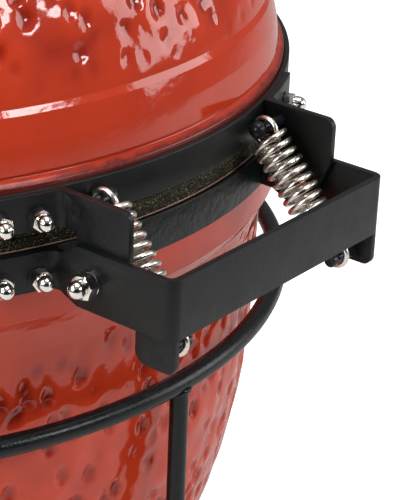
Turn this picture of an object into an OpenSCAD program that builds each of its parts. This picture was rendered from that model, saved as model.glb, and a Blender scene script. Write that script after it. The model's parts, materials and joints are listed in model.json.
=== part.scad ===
// Kamado ceramic grill: a glazed ceramic base and dome held in steel bands, joined at the back by a
// spring-balanced hinge, on a round-bar stand. Millimetres, +Z up, the hinge towards +Y, the handle
// and the draft door towards -Y. The origin is on the grill's axis, on the floor.

/* [Ceramic] */
// Inner radius of the steel bands, which sets the ceramic's size
band_in_r = 264; // [220:1:320]
// Height of the ceramic base, from its foot to its rim
base_h = 372; // [340:1:450]
// Height of the dome's curve above its middle line
dome_rise = 235; // [190:1:290]
// Wall of the base
base_wall = 26; // [20:1:32]
// Wall of the dome
dome_wall = 20; // [16:1:26]
// Floor of the base
base_floor = 30; // [20:1:40]
// Outer radius of the chimney neck
neck_r = 60; // [50:1:75]
// Wall of the chimney neck
neck_wall = 12; // [8:1:16]
// Height of the chimney neck above the dome's curve
neck_h = 18; // [12:1:30]
// Air between the ceramic and its band
band_fit = 0.3; // [0.2:0.1:1]

/* [Bands and felt] */
// Thickness of a band
band_t = 3; // [2:0.5:4]
// Height of the dome's band
upper_band_h = 19.1; // [16:0.1:26]
// Height of the base's band
lower_band_h = 20.5; // [16:0.1:26]
// Thickness of one felt strip
felt_t = 6; // [4:0.5:10]
// Width of a felt strip
felt_w = 28; // [20:1:32]
// Gap between the two felts when the dome is shut
felt_gap = 0.4; // [0.2:0.1:1]
// How far a clamp ear stands out at the front
ear_out = 17; // [14:1:22]
// Slit between the two ends of a band
band_slit = 8; // [5:1:12]

/* [Hinge] */
// Thickness of the bent hinge plates
plate_t = 3.6; // [3:0.1:5]
// Width over the lower hinge bracket's arms
hinge_w = 176.6; // [150:0.1:200]
// Reach of the lower hinge bracket behind the band
hinge_reach = 63.7; // [60:0.1:80]
// Height of the lower hinge bracket's strip
strip_h = 32.1; // [30:0.1:40]
// Pivot's distance behind the band
pivot_out = 13.2; // [12:0.1:16]
// Pivot's depth under the middle of the felt
pivot_drop = 15.8; // [14:0.1:18]
// Side gap between an ear and an arm
side_gap = 0.3; // [0.2:0.05:0.6]
// Radius of the pivot bolt
pivot_r = 4; // [3:0.5:5]
// How far the hinge ears reach behind the pivot
ear_reach = 19.8; // [16:0.1:24]
// Angle along the band that each flange covers
flange_sweep = 9.4; // [8:0.1:12]

/* [Springs] */
// Distance of each spring from the middle
spring_x = 67.5; // [60:0.5:72]
// Outer radius of the coil
coil_r = 12.5; // [10:0.5:12.5]
// Wire of the springs
wire_d = 3.2; // [2.4:0.1:3.4]
// Turns in each coil
coil_turns = 11; // [8:1:13]
// Upper pin's place in front of the pivot
upper_pin_back = 13.6; // [13:0.1:18]
// Upper pin's height over the pivot
upper_pin_rise = 32.2; // [30:0.1:36]
// Lower pin's place behind the pivot
lower_pin_out = 37.8; // [34:0.1:42]
// Lower pin's depth under the pivot
lower_pin_drop = 28.2; // [24:0.1:32]
// Radius of the upper spring pins
upper_pin_r = 3.2; // [2:0.1:4]
// Radius of the lower spring pins
lower_pin_r = 2.6; // [2:0.2:4]

/* [Fasteners] */
// Thread radius of the band studs
stud_r = 3; // [2.5:0.5:4]
// Width across the flats of the small cap nuts
small_af = 10; // [8:0.5:13]
// Width across the flats of the pivot cap nuts
pivot_af = 12; // [11:0.5:16]
// Air around a thread in its nut
thread_fit = 0.05; // [0.03:0.01:0.1]
// Radial clearance where one part turns on another
run_fit = 0.05; // [0.02:0.01:0.1]
// Air around a screw in a through hole
hole_fit = 0.25; // [0.2:0.05:0.5]
// Gap under parts that meet a round face
seat_gap = 0.05; // [0.02:0.01:0.1]

/* [Handle] */
// Radius of the handle bar
handle_r = 16; // [12:0.5:20]
// Distance of each handle arm from the middle
handle_half = 130; // [100:1:150]

/* [Thermometer] */
// Radius of the dial's case
dial_r = 31; // [24:0.5:38]
// Depth of the dial's case
dial_d = 13; // [10:0.5:18]
// Height of the dial over the middle of the felt
dial_up = 120; // [100:1:150]
// Length of the stem under the case
stem_len = 78; // [60:1:110]
// Radius of the stem
stem_r = 3; // [2:0.5:4]

/* [Top vent] */
// Opening radius in the vent's base
vent_open_r = 44; // [34:1:46]
// Wall of the vent's base around the neck
vent_wall = 6; // [4:0.5:8]
// Thickness of the vent's swinging cap
vent_cap_t = 6; // [4:0.5:8]
// Petal-shaped openings in the cap and the wheel
petals = 5; // [4:1:6]

/* [Draft door] */
// Width of the draft opening
draft_w = 112; // [80:1:120]
// Height of the draft opening
draft_h = 52; // [40:1:56]
// Height of the draft opening's middle over the base's foot
draft_up = 78; // [76:1:90]
// Thickness of the frame and door sheets
sheet_t = 2; // [1.5:0.1:2.5]

/* [Inside] */
// Wall of the firebox and the fire ring
fire_wall = 19; // [15:1:22]
// Height of the fire ring
fire_ring_h = 95; // [80:1:110]
// Bars of the cooking grate
grate_bars = 25; // [15:2:31]
// Bar width of the cooking grate
grate_bar_w = 5; // [4:0.5:7]
// Thickness of the cooking grate
grate_t = 6; // [5:0.5:8]

/* [Stand] */
// Diameter of the stand's top ring bar
ring_d = 11.4; // [9:0.1:14]
// Diameter of the stand's leg bars
leg_d = 10.4; // [8:0.1:12]
// Air between the base's widest part and the ring
ring_air = 8.2; // [6:0.1:16]
// Depth of the ring under the middle of the felt
ring_drop = 111.7; // [90:0.1:140]
// Bend radius of a leg
leg_bend = 26; // [18:1:40]
// Radius of the hub ring under the base
hub_r = 60; // [45:1:80]
// Diameter of the hub ring's bar
hub_d = 9.4; // [8:0.1:10]
// Height of a foot
foot_h = 14; // [10:1:24]
// Radius of a foot
foot_r = 15; // [10:1:20]

/* [Hidden] */
$fn = 96;

// Heights
leg_z = foot_h + leg_d / 2 - 3;
base_z = leg_z + leg_d / 2 + seat_gap;
base_rim_z = base_z + base_h;
gasket_z = base_rim_z + felt_t;
dome_rim_z = gasket_z + felt_t;
upper_band_top = dome_rim_z + upper_band_h;
lower_band_bottom = base_rim_z - lower_band_h;

// Ceramic outlines
band_r = band_in_r + band_t;
ceramic_r = band_in_r - band_fit;
belly_r = ceramic_r - 10.2;
belly_z = gasket_z - 95;
foot_pull = 0.338;
belly_power = 2.45;
dome_ridge_r = ceramic_r - 10.8;
dome_ridge_z = gasket_z + 61.8;
dome_mid_z = gasket_z + 16;
dome_a = dome_ridge_r / sqrt(1 - pow((dome_ridge_z - dome_mid_z) / dome_rise, 2));
curve_steps = 24;
arc_step = 7.5;
dome_in_a = dome_a - dome_wall;
dome_in_rise = dome_rise - dome_wall;
neck_in_r = neck_r - neck_wall;
neck_z = dome_z_at(neck_r, dome_a, dome_rise) + neck_h;
rim_in_r = ceramic_r - base_wall;

function dome_r_at(z, a, rise) = a * sqrt(1 - pow((z - dome_mid_z) / rise, 2));
function dome_z_at(r, a, rise) = dome_mid_z + rise * sqrt(1 - pow(r / a, 2));
function belly_r_at(z) = belly_r * (1 - foot_pull * pow(max(0, belly_z - z) / (belly_z - base_z), belly_power));
// Points up an ellipse-like dome curve from the angle of one height to the neck
function dome_curve(a, rise, z0, r1) =
    let (t0 = asin((z0 - dome_mid_z) / rise), t1 = acos(r1 / a))
    [for (i = [0:curve_steps]) let (t = t0 + (t1 - t0) * i / curve_steps) [a * cos(t), dome_mid_z + rise * sin(t)]];

// Hinge
flange_t = 3.5;
flange_r = band_r + flange_t;
flange_lap = 0.6;
root_len = 13;
root_lap = 2;
pivot_y = band_r + pivot_out;
pivot_z = gasket_z - pivot_drop;
strip_y = band_r + hinge_reach;
strip_top = gasket_z + 0.7;
strip_bottom = strip_top - strip_h;
arm_out_x = hinge_w / 2;
arm_in_x = arm_out_x - plate_t;
ear_out_x = arm_in_x - side_gap;
ear_in_x = ear_out_x - plate_t;
ear_boss_r = 13;
corner_r = 7;
washer_t = 1.6;
washer_r = pivot_r + 2.4;
stud_a1 = 20.4;
stud_a2 = 24.7;
upper_stud_z = gasket_z + 12.8;
lower_stud_z = gasket_z - 19.2;
upper_pin_y = pivot_y - upper_pin_back;
upper_pin_z = pivot_z + upper_pin_rise;
lower_pin_y = pivot_y + lower_pin_out;
lower_pin_z = pivot_z - lower_pin_drop;
tab_top = pivot_z - 12.6;
tab_y1 = strip_y - 0.7;
tab_bottom = lower_pin_z - 6.4;
tab_y0 = lower_pin_y - 12.5;
root_y1 = band_r + 4;
plate_y0 = band_r - 9;

// Springs
spring_len = norm([lower_pin_y - upper_pin_y, upper_pin_z - lower_pin_z]);
spring_tilt = atan2(lower_pin_y - upper_pin_y, upper_pin_z - lower_pin_z);
wire_r = wire_d / 2;
loop_r = 7.2;
pin_gap = 0.15;
lower_loop_z = loop_r - wire_r - lower_pin_r - pin_gap;
upper_loop_z = spring_len - (loop_r - wire_r - upper_pin_r - pin_gap);
coil_z0 = lower_loop_z + loop_r;
coil_z1 = upper_loop_z - loop_r;

// Handle and draft door
handle_y = -(strip_y - handle_r);
handle_z = gasket_z + 15.5;
arm_t = 5;
handle_a = asin((handle_half + arm_t) / band_r);
handle_stud_a = handle_a + 4.4;
draft_z = base_z + draft_up;
boss_half_w = draft_w / 2 + 32;
boss_half_h = draft_h / 2 + 21;
boss_y = belly_r_at(draft_z + boss_half_h - 4);
frame_half_w = boss_half_w - 8;
frame_half_h = boss_half_h - 5;
door_half_h = draft_h / 2 + 3;
screw_x = frame_half_w - 7;
screw_z = frame_half_h - 5;
screen_half_w = draft_w / 2 + 8;
screen_half_h = draft_h / 2 + 6;
screen_t = 1;
door_half_w = draft_w / 2 + 7;
slide_gap = 0.3;
screw_r = 2.5;

// Thermometer
dial_z = gasket_z + dial_up;
dial_y = dome_r_at(dial_z, dome_a, dome_rise);
dial_rise = atan2((dial_z - dome_mid_z) / pow(dome_rise, 2), dial_y / pow(dome_a, 2));
dial_seat = 1.5;
dial_base = 4;
dial_floor = 1.5;
dial_lip = 1.5;
face_z = dial_base + dial_floor;
glass_t = 2;
glass_z = dial_base + dial_d - dial_lip - glass_t - seat_gap;
staff_r = 1;
needle_z = face_z + 2.6;
nut_seat = 16;

// Top vent
vent_z = neck_z;
vent_top_t = 6;
cap_z = vent_z + vent_top_t + slide_gap;
vent_r = neck_r + seat_gap + vent_wall;
swing_x = vent_r + 2;
wheel_z = cap_z + vent_cap_t + slide_gap;
wheel_t = 3;
wheel_r = vent_open_r - 1;

// Inside
firebox_z = base_z + base_floor + seat_gap;
fire_ring_z = gasket_z - 35 - fire_ring_h;
firebox_top_r = belly_r - base_wall - 13;
firebox_foot_r = belly_r_at(firebox_z) - base_wall - 8;
ledge_z = firebox_z + 56;
charcoal_r = firebox_foot_r - 3;
ledge_in_r = charcoal_r - 9;
firebox_hole_r = 60;
grate_r = rim_in_r - 9.7;
grate_z = gasket_z - 35;

// Stand
ring_r = belly_r + ring_air + ring_d / 2;
ring_z = gasket_z - ring_drop;
foot_at = ring_r - leg_bend - foot_r - 2;

// Puts a piece at an angle from the back, clockwise from above, facing outwards
module around(angle, r, z) {
    rotate([0, 0, -angle]) translate([0, r, z]) rotate([-90, 0, 0]) children();
}

// A flat ring between two heights
module tube(r_out, r_in, z0, z1) {
    translate([0, 0, z0]) difference() {
        cylinder(r = r_out, h = z1 - z0);
        translate([0, 0, -1]) cylinder(r = r_in, h = z1 - z0 + 2);
    }
}

// A plate standing across X, its outline given in (y, z)
module x_plate(x0, t, outline) {
    translate([x0, 0, 0]) rotate([90, 0, 90]) linear_extrude(height = t) polygon(outline);
}

// A bar across X
module x_bar(x0, x1, r, y, z) {
    translate([x0, y, z]) rotate([0, 90, 0]) cylinder(r = r, h = x1 - x0);
}

// Domed cap nut on +Z with a blind thread hole
module cap_nut(af, bore, hex_h, total_h) {
    dome_r = af * 0.47;
    wall_h = hex_h + (total_h - hex_h) * 0.3;
    color("silver") {
        difference() {
            cylinder(r = af / 2 / cos(30), h = hex_h, $fn = 6);
            translate([0, 0, -1]) cylinder(r = bore, h = hex_h + 2);
        }
        rotate_extrude() polygon(concat(
            [[bore, hex_h - 0.2], [dome_r, hex_h - 0.2], [dome_r, wall_h]],
            [for (i = [1:9]) [dome_r * cos(10 * i), wall_h + (total_h - wall_h) * sin(10 * i)]],
            [[0, wall_h + 0.5], [bore, wall_h + 0.5]]
        ));
    }
}

// Plain hex nut on +Z
module hex_nut(af, bore, h) {
    color("silver") difference() {
        cylinder(r = af / 2 / cos(30), h = h, $fn = 6);
        translate([0, 0, -1]) cylinder(r = bore, h = h + 2);
    }
}

// Round bar bent in a full ring
module bar_ring(r, d, z) {
    translate([0, 0, z]) rotate_extrude() translate([r, 0]) circle(d = d);
}

module base_shell() {
    outer = concat(
        [[0, base_z], [0, base_rim_z], [ceramic_r, base_rim_z], [ceramic_r, gasket_z - 45.7],
         [ceramic_r - 0.6, gasket_z - 46.5], [ceramic_r - 5.2, gasket_z - 54],
         [ceramic_r - 6.7, gasket_z - 60], [ceramic_r - 9, gasket_z - 70], [belly_r, belly_z]],
        [for (i = [1:curve_steps]) let (z = belly_z + (base_z - belly_z) * i / curve_steps) [belly_r_at(z), z]]
    );
    in_z = base_z + base_floor;
    inner = concat(
        [[0, in_z]],
        [for (i = [0:curve_steps]) let (z = in_z + (belly_z - in_z) * i / curve_steps)
            [belly_r_at(z) - base_wall, z]],
        [[rim_in_r, gasket_z - 60], [rim_in_r, base_rim_z + 1], [0, base_rim_z + 1]]
    );
    recess_w = screen_half_w + slide_gap;
    recess_h = screen_half_h + slide_gap;
    color("orangered") difference() {
        union() {
            rotate_extrude() polygon(outer);
            translate([-boss_half_w, -boss_y, draft_z - boss_half_h])
                cube([2 * boss_half_w, boss_y - 80, 2 * boss_half_h]);
        }
        rotate_extrude() polygon(inner);
        translate([-draft_w / 2, -boss_y - 1, draft_z - draft_h / 2])
            cube([draft_w, boss_y - 80, draft_h]);
        translate([-recess_w, -boss_y - 1, draft_z - recess_h])
            cube([2 * recess_w, 1 + screen_t + seat_gap, 2 * recess_h]);
        for (sx = [-1, 1], sz = [-1, 1])
            translate([sx * screw_x, -boss_y - 1, draft_z + sz * screw_z]) rotate([-90, 0, 0])
                cylinder(r = screw_r + thread_fit, h = 19);
    }
}

module dome_shell() {
    color("orangered") difference() {
        rotate_extrude() polygon(concat(
            [[rim_in_r, dome_rim_z], [ceramic_r, dome_rim_z], [ceramic_r, upper_band_top + 2.6],
             [ceramic_r - 2.6, upper_band_top + 4], [ceramic_r - 3, upper_band_top + 6.4],
             [ceramic_r - 5.5, gasket_z + 44.8], [ceramic_r - 5.9, gasket_z + 46],
             [dome_ridge_r + 1, dome_ridge_z - 1.2], [dome_ridge_r + 0.8, dome_ridge_z - 0.2]],
            dome_curve(dome_a, dome_rise, dome_ridge_z, neck_r),
            [[neck_r, neck_z], [neck_in_r, neck_z]],
            [for (i = [curve_steps:-1:0]) dome_curve(dome_in_a, dome_in_rise, dome_ridge_z, neck_in_r)[i]],
            [[rim_in_r, gasket_z + 31]]
        ));
        dial_place(-60) cylinder(r = stem_r + 1.2, h = 80);
        dial_place(-dial_seat) cylinder(r = 12, h = 20);
        dial_place(-60) cylinder(r = 14, h = 60 - nut_seat);
    }
}

module felt(z0) {
    color("darkolivegreen") tube(ceramic_r - 1.5, ceramic_r - 1.5 - felt_w, z0, z0 + felt_t - felt_gap / 2);
}

module base_felt() felt(base_rim_z);

module dome_felt() felt(gasket_z + felt_gap / 2);

// A split band with two clamp ears at the front, over its clamp bolt's holes
module band(z0, h) {
    color("dimgray") difference() {
        union() {
            tube(band_r, band_in_r, z0, z0 + h);
            for (s = [-1, 1])
                translate([s > 0 ? band_slit / 2 : -band_slit / 2 - band_t, -band_r - ear_out, z0])
                    cube([band_t, ear_out + band_t / 2, h]);
        }
        translate([-band_slit / 2, -band_r - ear_out - 1, z0 - 1]) cube([band_slit, ear_out + 20, h + 2]);
        x_bar(-20, 20, stud_r + hole_fit, -band_r - ear_out + 8, z0 + h / 2);
    }
}

module upper_band() band(dome_rim_z, upper_band_h);

module lower_band() band(lower_band_bottom, lower_band_h);

// Hex bolt through the two clamp ears, its head towards -X
module clamp_bolt(z) {
    color("silver") {
        translate([-band_slit / 2 - band_t - seat_gap - 4, -band_r - ear_out + 8, z]) rotate([0, 90, 0])
            cylinder(r = small_af / 2 / cos(30), h = 4, $fn = 6);
        x_bar(-band_slit / 2 - band_t - seat_gap - 1, band_slit / 2 + band_t + 9, stud_r,
              -band_r - ear_out + 8, z);
    }
}

module clamp_nut(z) {
    translate([band_slit / 2 + band_t + seat_gap, -band_r - ear_out + 8, z]) rotate([0, 90, 0])
        hex_nut(small_af, stud_r + thread_fit, 5);
}

module upper_clamp_bolt() clamp_bolt(dome_rim_z + upper_band_h / 2);

module lower_clamp_bolt() clamp_bolt(lower_band_bottom + lower_band_h / 2);

module upper_clamp_nut() clamp_nut(dome_rim_z + upper_band_h / 2);

module lower_clamp_nut() clamp_nut(lower_band_bottom + lower_band_h / 2);

// Flange along the band with the root of the plate it is bent into: t thick, its outer face at X = bend_x
// and its far end at Y = root_y
module flange(z0, z1, bend_x, t, root_y) {
    a0 = asin(bend_x / flange_r) - flange_lap;
    a1 = a0 + flange_lap + flange_sweep;
    far = 2 * flange_r;
    translate([0, 0, z0]) linear_extrude(height = z1 - z0) difference() {
        union() {
            intersection() {
                circle(r = flange_r);
                polygon([[0, 0], [far * sin(a0), far * cos(a0)], [far * sin(a1), far * cos(a1)]]);
            }
            translate([bend_x - t, root_y - root_len]) square([t, root_len]);
        }
        circle(r = band_r);
    }
}

// The two holes of a flange, over its studs
module flange_holes(stud_z) {
    for (a = [stud_a1, stud_a2])
        around(a, band_r - 5, stud_z) cylinder(r = stud_r + hole_fit, h = 20);
}

// Points of an arc, given in degrees
function arc(x, y, r, a0, a1) =
    let (n = ceil(abs(a1 - a0) / arc_step))
    [for (i = [0:n]) let (a = a0 + (a1 - a0) * i / n) [x + r * cos(a), y + r * sin(a)]];

// Bent plate on the dome's band: a flange and an ear down to the pivot, on the +X side
module upper_hinge_bracket() {
    ear_y1 = pivot_y + ear_reach;
    edge_r = 5;
    color("dimgray") difference() {
        union() {
            flange(dome_rim_z, upper_band_top, ear_out_x, plate_t, plate_y0 + root_lap);
            x_plate(ear_in_x, plate_t, concat(
                arc(pivot_y, pivot_z, ear_boss_r, 180, 360),
                [[ear_y1, gasket_z]],
                arc(ear_y1 - edge_r, upper_band_top - edge_r, edge_r, 0, 90),
                [[plate_y0, upper_band_top], [plate_y0, dome_rim_z],
                 [pivot_y - ear_boss_r, dome_rim_z]]
            ));
        }
        flange_holes(upper_stud_z);
        x_bar(ear_in_x - 1, ear_out_x + 1, pivot_r + run_fit, pivot_y, pivot_z);
        x_bar(ear_in_x - 1, ear_out_x + 1, upper_pin_r + thread_fit, upper_pin_y, upper_pin_z);
    }
}

module upper_hinge_bracket_right() upper_hinge_bracket();

module upper_hinge_bracket_left() mirror([1, 0, 0]) upper_hinge_bracket();

// Root of one arm of the lower bracket with its flange, on the +X side
module lower_root() {
    x_plate(arm_in_x, plate_t, [
        [plate_y0, lower_band_bottom], [band_r - 6.5, lower_band_bottom], [root_y1, strip_bottom],
        [root_y1, strip_top], [band_r - 6.5, base_rim_z], [plate_y0, base_rim_z]
    ]);
    flange(lower_band_bottom, base_rim_z, arm_out_x, plate_t, plate_y0 + root_lap);
}

// One strip bent in a U behind the grill, with a flange on the band at each end
module lower_hinge_bracket() {
    cx = arm_out_x - corner_r;
    cy = strip_y - corner_r;
    in_r = corner_r - plate_t;
    color("dimgray") difference() {
        union() {
            lower_root();
            mirror([1, 0, 0]) lower_root();
            translate([0, 0, strip_bottom]) linear_extrude(height = strip_h) polygon(concat(
                [[arm_out_x, root_y1]], arc(cx, cy, corner_r, 0, 90), arc(-cx, cy, corner_r, 90, 180),
                [[-arm_out_x, root_y1], [-arm_in_x, root_y1]], arc(-cx, cy, in_r, 180, 90),
                arc(cx, cy, in_r, 90, 0), [[arm_in_x, root_y1]]
            ));
        }
        flange_holes(lower_stud_z);
        mirror([1, 0, 0]) flange_holes(lower_stud_z);
        x_bar(-arm_out_x - 1, arm_out_x + 1, pivot_r + hole_fit, pivot_y, pivot_z);
    }
}

// Hanging plate inside each arm that carries the lower spring pin
module spring_tab() {
    r0 = 7;
    r1 = 5;
    y1 = strip_y - corner_r;
    under_strip = strip_bottom - seat_gap;
    color("dimgray") difference() {
        x_plate(arm_in_x - plate_t, plate_t, concat(
            [[tab_y1, under_strip], [y1, under_strip], [y1, tab_top], [tab_y0, tab_top]],
            arc(tab_y0 + r0, tab_bottom + r0, r0, 180, 270),
            arc(tab_y1 - r1, tab_bottom + r1, r1, 270, 360)
        ));
        x_bar(arm_in_x - plate_t - 1, arm_in_x + 1, lower_pin_r + thread_fit, lower_pin_y, lower_pin_z);
    }
}

module spring_tab_right() spring_tab();

module spring_tab_left() mirror([1, 0, 0]) spring_tab();

// Low-headed bolt that the ear turns on
module pivot_bolt() {
    head_h = 1.3;
    color("silver") {
        x_bar(ear_in_x - 0.2 - head_h, ear_in_x - 0.2, 6.5, pivot_y, pivot_z);
        x_bar(ear_in_x - 0.3, arm_out_x + 8.5, pivot_r, pivot_y, pivot_z);
    }
}

module pivot_bolt_right() pivot_bolt();

module pivot_bolt_left() mirror([1, 0, 0]) pivot_bolt();

module pivot_washers() {
    color("silver") for (s = [0, 1]) mirror([s, 0, 0]) difference() {
        x_bar(arm_out_x, arm_out_x + washer_t, washer_r, pivot_y, pivot_z);
        x_bar(arm_out_x - 1, arm_out_x + washer_t + 1, pivot_r + hole_fit, pivot_y, pivot_z);
    }
}

module pivot_nuts() {
    for (s = [0, 1]) mirror([s, 0, 0]) translate([arm_out_x + washer_t, pivot_y, pivot_z])
        rotate([0, 90, 0]) cap_nut(pivot_af, pivot_r + thread_fit, 6, 13.5);
}

// Pin riveted in the hinge ear, with a ball end that keeps the hook on
module upper_spring_pin() {
    ball_r = upper_pin_r * 1.65;
    ball_x = spring_x - 7;
    meet = asin(upper_pin_r / ball_r);
    color("dimgray") translate([0, upper_pin_y, upper_pin_z]) rotate([0, 90, 0]) rotate_extrude()
        polygon(concat(
            [[0, ear_out_x], [0, ball_x - ball_r]],
            [for (i = [1:9]) let (t = (180 - meet) * i / 9) [ball_r * sin(t), ball_x - ball_r * cos(t)]],
            [[upper_pin_r, ear_out_x]]
        ));
}

module upper_spring_pin_right() upper_spring_pin();

module upper_spring_pin_left() mirror([1, 0, 0]) upper_spring_pin();

// Pin riveted in the hanging tab, with a round flange end
module lower_spring_pin() {
    color("dimgray") {
        x_bar(spring_x - 6, arm_in_x, lower_pin_r, lower_pin_y, lower_pin_z);
        x_bar(spring_x - 8, spring_x - 5, 3.6, lower_pin_y, lower_pin_z);
    }
}

module lower_spring_pin_right() lower_spring_pin();

module lower_spring_pin_left() mirror([1, 0, 0]) lower_spring_pin();

// Places its children at the lower pin, +Z along the spring
module spring_place(side) {
    translate([side * spring_x, lower_pin_y, lower_pin_z]) rotate([spring_tilt, 0, 0]) children();
}

module hook_loop(z) {
    translate([0, 0, z]) rotate([0, 90, 0]) rotate_extrude() translate([loop_r, 0]) circle(r = wire_r);
}

// Coil as a beaded sleeve with its lower loop
module spring(side) {
    pitch = (coil_z1 - coil_z0 - wire_d) / coil_turns;
    color("gainsboro") spring_place(side) {
        hook_loop(lower_loop_z);
        translate([0, 0, coil_z0]) cylinder(r = coil_r - wire_r, h = wire_d);
        rotate_extrude() {
            translate([coil_r - wire_r * 1.3, coil_z0]) square([wire_r * 0.6, coil_z1 - coil_z0]);
            for (i = [0:coil_turns])
                translate([coil_r - wire_r, coil_z0 + wire_r + i * pitch]) circle(r = wire_r * 0.98);
        }
    }
}

module spring_right() spring(1);

module spring_left() spring(-1);

// Upper loop of the spring on its end turn
module spring_hook(side) {
    color("gainsboro") spring_place(side) {
        hook_loop(upper_loop_z);
        translate([0, 0, coil_z1 + seat_gap]) cylinder(r = coil_r - wire_r, h = wire_r);
    }
}

module spring_hook_right() spring_hook(1);

module spring_hook_left() spring_hook(-1);

upper_stud_angles = [stud_a1, stud_a2, -stud_a1, -stud_a2, 180 - handle_stud_a, 180 + handle_stud_a];
lower_stud_angles = [stud_a1, stud_a2, -stud_a1, -stud_a2];

module studs(angles, z) {
    color("silver") for (a = angles) around(a, band_r + seat_gap, z) cylinder(r = stud_r, h = 10);
}

module stud_nuts(angles, z) {
    for (a = angles) around(a, flange_r + seat_gap, z) rotate([0, 0, 30])
        cap_nut(small_af, stud_r + thread_fit, 5, 12);
}

module upper_band_studs() studs(upper_stud_angles, upper_stud_z);

module upper_band_nuts() stud_nuts(upper_stud_angles, upper_stud_z);

module lower_band_studs() studs(lower_stud_angles, lower_stud_z);

module lower_band_nuts() stud_nuts(lower_stud_angles, lower_stud_z);

module handle_bar() {
    color("saddlebrown") difference() {
        x_bar(-handle_half, handle_half, handle_r, handle_y, handle_z);
        for (s = [0, 1]) mirror([s, 0, 0])
            x_bar(handle_half - 26, handle_half + 1, stud_r + thread_fit, handle_y, handle_z);
    }
}

// Arm from the dome's band to the end of the handle bar, on the +X side
module handle_bracket() {
    arm_y0 = sqrt(pow(band_r, 2) - pow(handle_half, 2)) + 3;
    color("dimgray") difference() {
        union() {
            x_plate(handle_half, arm_t, [
                [-arm_y0, dome_rim_z], [-arm_y0, upper_band_top],
                [handle_y, handle_z + handle_r], [handle_y, handle_z - handle_r]
            ]);
            x_bar(handle_half, handle_half + arm_t, handle_r, handle_y, handle_z);
            mirror([0, 1, 0])
                flange(dome_rim_z, upper_band_top, handle_half + arm_t, arm_t, arm_y0 + root_lap);
        }
        around(180 - handle_stud_a, band_r - 5, upper_stud_z) cylinder(r = stud_r + hole_fit, h = 20);
        x_bar(handle_half - 1, handle_half + arm_t + 1, stud_r + hole_fit, handle_y, handle_z);
    }
}

module handle_bracket_right() handle_bracket();

module handle_bracket_left() mirror([1, 0, 0]) handle_bracket();

// Button screws from outside each arm into the bar's ends
module handle_screws() {
    x0 = handle_half + arm_t;
    color("silver") for (s = [0, 1]) mirror([s, 0, 0]) {
        x_bar(x0 - 24, x0 + 1, stud_r, handle_y, handle_z);
        x_bar(x0, x0 + 3.3, 5.5, handle_y, handle_z);
    }
}

// Petal windows of the vent, as a flat pattern; each window and each web between covers the same angle
module petals_2d(r0, r1) {
    step = 360 / petals;
    for (i = [0:petals - 1]) rotate(i * step) intersection() {
        difference() {
            circle(r = r1);
            circle(r = r0);
        }
        polygon([[0, 0], [2 * r1, 0], [2 * r1 * cos(step * 0.46), 2 * r1 * sin(step * 0.46)]]);
    }
}

// Cast collar around the chimney neck with a boss for the swinging cap
module vent_base() {
    color("gray") difference() {
        union() {
            cylinder_at(vent_r, neck_z - neck_h + 4, vent_z + vent_top_t);
            translate([swing_x, 0, vent_z - 6]) cylinder(r = 10, h = vent_top_t + 6);
        }
        translate([0, 0, neck_z - 60]) cylinder(r = neck_r + seat_gap, h = 60 + seat_gap);
        translate([0, 0, vent_z - 1]) cylinder(r = vent_open_r, h = vent_top_t + 2);
        translate([swing_x, 0, vent_z - 7]) cylinder(r = screw_r + thread_fit, h = 20);
    }
}

module cylinder_at(r, z0, z1) {
    translate([0, 0, z0]) cylinder(r = r, h = z1 - z0);
}

module vent_cap() {
    color("gray") difference() {
        translate([0, 0, cap_z]) linear_extrude(height = vent_cap_t) difference() {
            union() {
                circle(r = vent_open_r + 10);
                translate([vent_open_r, -9]) square([swing_x - vent_open_r, 18]);
                translate([swing_x, 0]) circle(r = 9);
            }
            petals_2d(12, vent_open_r - 6);
        }
        for (x = [0, swing_x]) translate([x, 0, cap_z - 1]) cylinder(r = screw_r + run_fit, h = 20);
    }
}

module daisy_wheel() {
    color("gray") difference() {
        translate([0, 0, wheel_z]) linear_extrude(height = wheel_t) difference() {
            circle(r = wheel_r);
            rotate(180 / petals) petals_2d(12, vent_open_r - 6);
        }
        translate([0, 0, wheel_z - 1]) cylinder(r = screw_r + thread_fit, h = 10);
    }
}

// Shoulder screw that the cap swings on
module vent_pivot_screw() {
    top = cap_z + vent_cap_t + slide_gap;
    color("silver") {
        translate([swing_x, 0, vent_z - 5]) cylinder(r = screw_r, h = top - vent_z + 6);
        translate([swing_x, 0, top]) cylinder(r = 5, h = 3.5);
    }
}

// Turned knob whose screw turns in the cap with the wheel
module daisy_knob() {
    top = wheel_z + wheel_t + seat_gap;
    color("dimgray") {
        translate([0, 0, cap_z]) cylinder(r = screw_r, h = top - cap_z + 1);
        translate([0, 0, top]) rotate_extrude() polygon([
            [0, 0], [7, 0], [7, 3], [5, 7], [5, 10], [11, 14], [12, 19], [9, 23], [0, 25]
        ]);
    }
}

// Places its children on the dome where the dial sits, +Z along the dome's normal
module dial_place(up) {
    translate([0, -dial_y, dial_z]) rotate([90 - dial_rise, 0, 0]) translate([0, 0, up]) children();
}

module dial_case() {
    bore_r = dial_r - 1;
    color("silver") dial_place(0) difference() {
        union() {
            translate([0, 0, dial_base]) cylinder(r = dial_r, h = dial_d);
            translate([0, 0, -dial_seat + seat_gap]) cylinder(r = 11, h = dial_seat + dial_base);
            translate([0, 0, -stem_len]) cylinder(r = stem_r, h = stem_len);
        }
        translate([0, 0, face_z]) cylinder(r = dial_r - 2.5, h = dial_d);
        translate([0, 0, face_z]) cylinder(r = bore_r, h = dial_d - dial_floor - dial_lip);
        translate([0, 0, -8]) cylinder(r = staff_r + run_fit, h = 20);
    }
}

module dial_face() {
    color("white") dial_place(face_z) difference() {
        cylinder(r = dial_r - 1 - seat_gap, h = 0.8);
        translate([0, 0, -1]) cylinder(r = staff_r + 0.5, h = 4);
    }
}

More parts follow.
